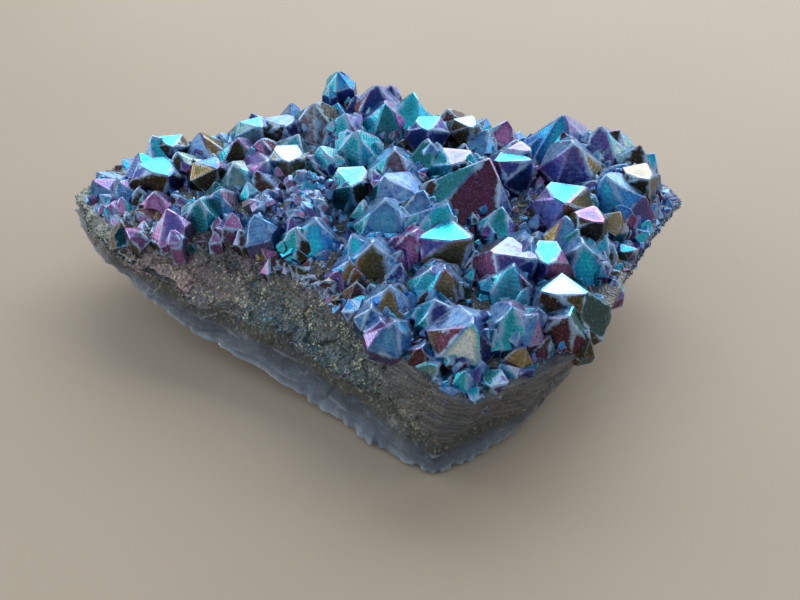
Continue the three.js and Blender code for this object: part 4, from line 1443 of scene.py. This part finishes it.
def grain_piece():
    n = np.arange(GRAIN_COUNT)
    side_rows = CRUST_STEPS[1] + CRUST_STEPS[2]
    row = CRUST_STEPS[0] + (side_rows * hash01(n, 61)).astype(int)
    column = (crust_grid.shape[1] * hash01(n, 62)).astype(int)
    middle = crust_grid[row, column] + 0.3 * (chance_turns(n, 70)[:, 0])
    half = 0.5 * np.stack([mix(*GRAIN_SIZE, hash01(n, 63 + k) ** 1.6) for k in range(3)], -1)
    clump = np.clip(2 * smooth_noise(middle, 2.2, 95) - 0.5, 0, 1)
    half = half * (mix(0.5, 1.2, clump) * (1 - 0.9 * glassiness(middle)))[:, None]
    local = AXES[None] * half[:, None, :]
    points = middle[:, None] + np.einsum("nij,nkj->nki", chance_turns(n, 80), local)
    faces = EIGHT[None] + len(AXES) * n[:, None, None]
    tint = blended_spots(middle, CRUST_GROUND, CRUST_SPOTS)
    warm = tint[:, 0] - tint[:, 1]
    bluish = tint[:, 2] - tint[:, 0]
    chance = hash01(n, 90)
    number = np.zeros(len(n), int)
    pools = ((GRAIN_FILMS, np.ones(len(n), bool)), (MAROON_FILMS, warm > 0.07),
             (DUSKY_FILMS, bluish > 0.03))
    for pool, chosen in pools:
        places = letter_numbers([pool])[0]
        number = np.where(chosen, places[(chance * len(pool)).astype(int)], number)
    film = FILM_VALUES[number].copy()
    film[:, 1] *= mix(0.5, 1.7, hash01(n, 91) ** 2 * mix(0.5, 1.0, clump))
    film[:, 2] += 0.25 * hash01(n, 92)
    film = np.repeat(film, len(EIGHT), 0)
    points = points.reshape(-1, 3)
    attributes = (
        ("film", "FLOAT_VECTOR", "FACE", film),
        ("rim_mm", "FLOAT", "POINT", np.full(len(points), 2.0)),
        ("rise", "FLOAT", "POINT", np.zeros(len(points))),
    )
    make_piece("crust_grains", points, (faces.reshape(-1, 3),), grain_material, attributes)


grain_material = coated_finish("coated grains", 0.1, 0.22, 0.1)
grain_piece()

# %% [markdown]
# ## The chalcedony base
# Under the crust lies chalcedony, quartz too fine to see, which breaks like thick
# glass: smooth, with shell-shaped bites between sharp cusps along the lower edge. The
# bites are a row of cells of uneven length, each (1 - q^2)^2 deep across its own width.

# %% The base's shell
BITE_COUNT = 92
BITE_DEPTH = (0.05, 0.6)
# The bites fade out over this share of the way from the edge.
BITE_BAND = 0.2


def bites_at(columns):
    """Depth of the shell-shaped bites round the edge, from 0 at the cusps."""
    at = BITE_COUNT * np.arange(columns) / columns
    cell = np.floor(at)
    start = cell + 0.6 * (hash01(cell, 101) - 0.5) * (cell > 0)
    late = at < start
    cell = np.where(late, cell - 1, cell)
    start = cell + 0.6 * (hash01(cell, 101) - 0.5) * (cell > 0)
    ahead = np.mod(cell + 1, BITE_COUNT)
    end = cell + 1 + 0.6 * (hash01(ahead, 101) - 0.5) * (ahead > 0)
    q = np.clip(2 * (at - start) / (end - start) - 1, -1, 1)
    return (1 - q**2) ** 2 * mix(*BITE_DEPTH, hash01(cell, 102) ** 2)


# The base goes on to just inside the ring where the crust comes out, so that no gap
# opens at the seam.
BASE_STEPS = (14, 12, 10, 3)
TOP_INSET = 0.985
TOP_RISE = 0.5
FOOT_MIDDLE = (3.0, 8.0, 0.0)
BASE_INSIDE = (*DOME_CENTRE, 15.0)
# Depth and width in mm, and a seed.
SLOW_WAVES = (0.8, 5.0, 21)
QUICK_WAVES = (0.3, 1.7, 23)
BASE_BREAKS = (0.25, 4.5, 25)
top_inset = RINGS[4].copy()
top_inset[:, :2] = mix(DOME_CENTRE, top_inset[:, :2], TOP_INSET)
top_inset[:, 2] += TOP_RISE
base_grid = finer_rings(np.concatenate([RINGS[:4], top_inset[None]]), BASE_STEPS)
base_normals = ring_normals(base_grid)
row = np.arange(len(base_grid))
edge_row = BASE_STEPS[0]
span = BASE_STEPS[1] + BASE_STEPS[2]
from_edge = np.where(row < edge_row, (edge_row - row) / edge_row, (row - edge_row) / span)
bite_share = np.exp(-((from_edge / BITE_BAND) ** 2))[:, None]
bites = bites_at(base_grid.shape[1])[None] * bite_share
waves = swell(base_grid, *SLOW_WAVES) + swell(base_grid, *QUICK_WAVES)
waves = waves + breaks(base_grid, *BASE_BREAKS) * np.minimum(from_edge * 3, 1)[:, None]
flat = (row / edge_row)[:, None] < 0.02
move = np.where(flat, 0.0, waves - bites)
base_grid = base_grid + base_normals * move[..., None]
base_grid[..., 2] = np.maximum(base_grid[..., 2], 0.0)
base_points, base_quads, base_fans = closed_shell(base_grid, FOOT_MIDDLE, BASE_INSIDE)
# How far up the band: below 0 under the stone, 0 on the lower edge, 1 at the seam.
BAND_ENDS = (-1.0, 1.2)
band = np.clip((row - edge_row) / span, *BAND_ENDS)[:, None] * np.ones(base_grid.shape[1])
turns = np.arange(base_grid.shape[1]) / base_grid.shape[1] * columns_mm.sum()
along = np.ones((len(base_grid), 1)) * turns
band_values = np.concatenate([band.ravel(), BAND_ENDS])
along_values = np.concatenate([along.ravel(), [0.0, 0.0]])
print("base rings:", base_grid.shape, "deepest bite in mm:", round(float(bites.max()), 2))

# %% [markdown]
# ## The chalcedony's finish
# It lets light in but shows no view through, so it is mostly scattering under the
# surface with a little plain transmission, and a smooth gloss on top. Pale streaks run
# along the band, and the thin lower edge is painted paler, as light coming through it
# would make it.

# %% Chalcedony finish
SLATE = ((0.155, 0.20, 0.26, 1.0), (0.045, 0.062, 0.085, 1.0))
MILK = (0.28, 0.33, 0.38, 1.0)
STREAK = (0.42, 0.44, 0.48, 1.0)
# The lower edge's paler colour paints light coming through it.
PAINTED_LIP_LIGHT = (0.44, 0.50, 0.56, 1.0)
EARTH = ((0.018, 0.03, 0.035, 1.0), (0.10, 0.10, 0.075, 1.0))
# A painted glint colour for the grainy part.
PAINTED_OLIVE_GLINT = (0.26, 0.27, 0.21, 1.0)


def chalcedony_finish(title):
    material, tree, places = new_material(title)
    band = read(tree, "band")
    along = calc(tree, "MULTIPLY", read(tree, "along_mm"), 0.12)
    height = calc(tree, "MULTIPLY", band, 9.0)
    ribbon = put_node(tree, "ShaderNodeCombineXYZ", {0: along, 1: height}).outputs[0]
    streaks = put_node(tree, "ShaderNodeTexNoise",
                       {"Vector": ribbon, "Scale": 1.0, "Detail": 5.0, "Roughness": 0.62,
                        "Distortion": 0.4}).outputs["Fac"]
    cloud = noise(tree, places, 6.0, 4.0, 0.55)
    fine = noise(tree, places, 0.8, 3.0, 0.6)
    edge = calc(tree, "MULTIPLY_ADD", calc(tree, "SUBTRACT", cloud, 0.5), 0.5, band)
    dark = eased(tree, edge, 0.05, 0.75)
    colour = blend_colour(tree, dark, *SLATE)
    milky = eased(tree, cloud, 0.45, 0.75, 0.0, 0.5)
    colour = blend_colour(tree, milky, colour, MILK)
    pale = eased(tree, streaks, 0.56, 0.70, 0.0, 0.75)
    colour = blend_colour(tree, pale, colour, STREAK)
    # The thin lower edge is painted paler, as light coming through it would make it.
    thin = eased(tree, band, 0.0, 0.22, 0.6, 0.0)
    under = eased(tree, band, -0.12, 0.0, 0.0, 1.0)
    painted_lip_light = calc(tree, "MULTIPLY", thin, under)
    colour = blend_colour(tree, painted_lip_light, colour, PAINTED_LIP_LIGHT)
    # Towards the crust the chalcedony turns grainy, dark teal and brown.
    grain = put_node(tree, "ShaderNodeSeparateXYZ", {0: cells(tree, places, 0.3, "Color")})
    crusty = eased(tree, edge, 0.6, 0.85)
    earth = blend_colour(tree, grain.outputs[0], *EARTH)
    colour = blend_colour(tree, crusty, colour, earth)
    # Painted glints: olive dots on some cells of the grainy part.
    painted_glint = calc(tree, "MULTIPLY", crusty, eased(tree, grain.outputs[1], 0.88, 0.94))
    colour = blend_colour(tree, painted_glint, colour, PAINTED_OLIVE_GLINT)
    rough = eased(tree, fine, 0.3, 0.8, 0.22, 0.45)
    heights = calc(tree, "MULTIPLY_ADD", streaks, 0.5, fine)
    feeds = {
        "Base Color": colour,
        "Roughness": rough,
        "IOR": 1.54,
        "Transmission Weight": 0.18,
        "Subsurface Weight": 0.45,
        "Subsurface Radius": (0.7, 0.85, 1.0),
        "Subsurface Scale": 2.5 * MM,
        "Coat Weight": 0.25,
        "Coat Roughness": 0.15,
    }
    finish_material(tree, feeds, heights, strength=0.35, reach_mm=0.2)
    return material


chalcedony = chalcedony_finish("chalcedony")
make_piece("chalcedony_base", base_points, (base_quads, base_fans), chalcedony, (
    ("band", "FLOAT", "POINT", band_values),
    ("along_mm", "FLOAT", "POINT", along_values),
), smooth_angle=38)

# %% [markdown]
# ## Floor, light and camera
# The stone stands on a plain pale floor. The main light is one large soft panel behind
# and above it on the right, because a film shows its colours where it mirrors a bright
# panel, and its dark body colour elsewhere. Weak fills keep the near side readable.

# %% The floor
FLOOR_HALF = 3.0
FLOOR_COLOURS = ((0.44, 0.35, 0.25, 1.0), (0.49, 0.39, 0.28, 1.0))


def floor_finish():
    material, tree, places = new_material("pale floor")
    soft = noise(tree, places, 60.0, 2.0)
    colour = blend_colour(tree, soft, *FLOOR_COLOURS)
    fine = noise(tree, places, 1.5, 2.0)
    finish_material(tree, {"Base Color": colour, "Roughness": 0.6}, fine, strength=0.1)
    return material


floor_mesh = bpy.data.meshes.new("floor")
floor_mesh.from_pydata(
    [(-FLOOR_HALF, -FLOOR_HALF, 0), (FLOOR_HALF, -FLOOR_HALF, 0),
     (FLOOR_HALF, FLOOR_HALF, 0), (-FLOOR_HALF, FLOOR_HALF, 0)], [], [(0, 1, 2, 3)])
floor_mesh.materials.append(floor_finish())
floor = bpy.data.objects.new("floor", floor_mesh)
bpy.context.scene.collection.objects.link(floor)
floor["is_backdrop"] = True
print("floor side in metres:", 2 * FLOOR_HALF)

# %% Lights
SKY_COLOUR = (0.54, 0.64, 0.77, 1.0)
SKY_STRENGTH = 0.68
world = bpy.data.worlds.new("studio")
bpy.context.scene.world = world
world.use_nodes = True
sky = world.node_tree.nodes["Background"]
sky.inputs[0].default_value = SKY_COLOUR
sky.inputs[1].default_value = SKY_STRENGTH


def soft_panel(name, place, size, watts, colour):
    """A rectangular soft light at a place in metres, turned towards the stone."""
    light = bpy.data.lights.new(name, "AREA")
    light.shape = "RECTANGLE"
    light.size, light.size_y = size
    light.energy = watts
    light.color = colour
    lamp = bpy.data.objects.new(name, light)
    bpy.context.scene.collection.objects.link(lamp)
    lamp.location = place
    away = -(Vector(place) - Vector((0, 0, 0.015)))
    lamp.rotation_euler = away.to_track_quat("-Z", "Y").to_euler()


DAYLIGHT = (0.93, 0.97, 1.0)
WARM_WHITE = (1.0, 0.97, 0.93)
LIGHTS = (
    ("window", (0.45, 1.55, 0.95), (2.5, 1.45), 40.0, DAYLIGHT),
    ("right fill", (0.8, 0.1, 0.35), (0.4, 0.4), 1.2, WARM_WHITE),
    ("left window", (-0.95, 0.35, 0.25), (0.55, 0.40), 3.0, DAYLIGHT),
    ("left fill", (-0.7, -0.25, 0.4), (0.5, 0.5), 0.8, WARM_WHITE),
)
for light_row in LIGHTS:
    soft_panel(*light_row)
print("lights:", len(LIGHTS))

# %% [markdown]
# ## The camera
# It looks down at 38 degrees from close by, as a person looks at a stone on a table.

# %% The camera
CAMERA_PLACE = (0.00527, -0.1546, 0.1203)
LOOK_DOWN = 38.0
FOCAL_MM = 46.8
lens = bpy.data.cameras.new("camera")
lens.lens = FOCAL_MM
lens.sensor_width = 36.0
lens.clip_start = 0.005
camera = bpy.data.objects.new("camera", lens)
camera.location = CAMERA_PLACE
camera.rotation_euler = (math.radians(90 - LOOK_DOWN), 0, 0)
bpy.context.scene.collection.objects.link(camera)
bpy.context.scene.camera = camera

# A plain studio look: bright panels may go to full white.
bpy.context.scene.view_settings.view_transform = "Standard"

# %% [markdown]
# ## Sizes and the last line
# The last step prints the imported box and the visible stone's box in millimetres. The
# visible stone has to stay inside the imported box, give or take a few millimetres.

# %% Measure and finish
bpy.context.view_layer.update()
visible_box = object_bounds()
for title, box in (("packed", packed_box), ("visible", visible_box)):
    print(title, [[round(v / MM, 2) for v in corner] for corner in box])
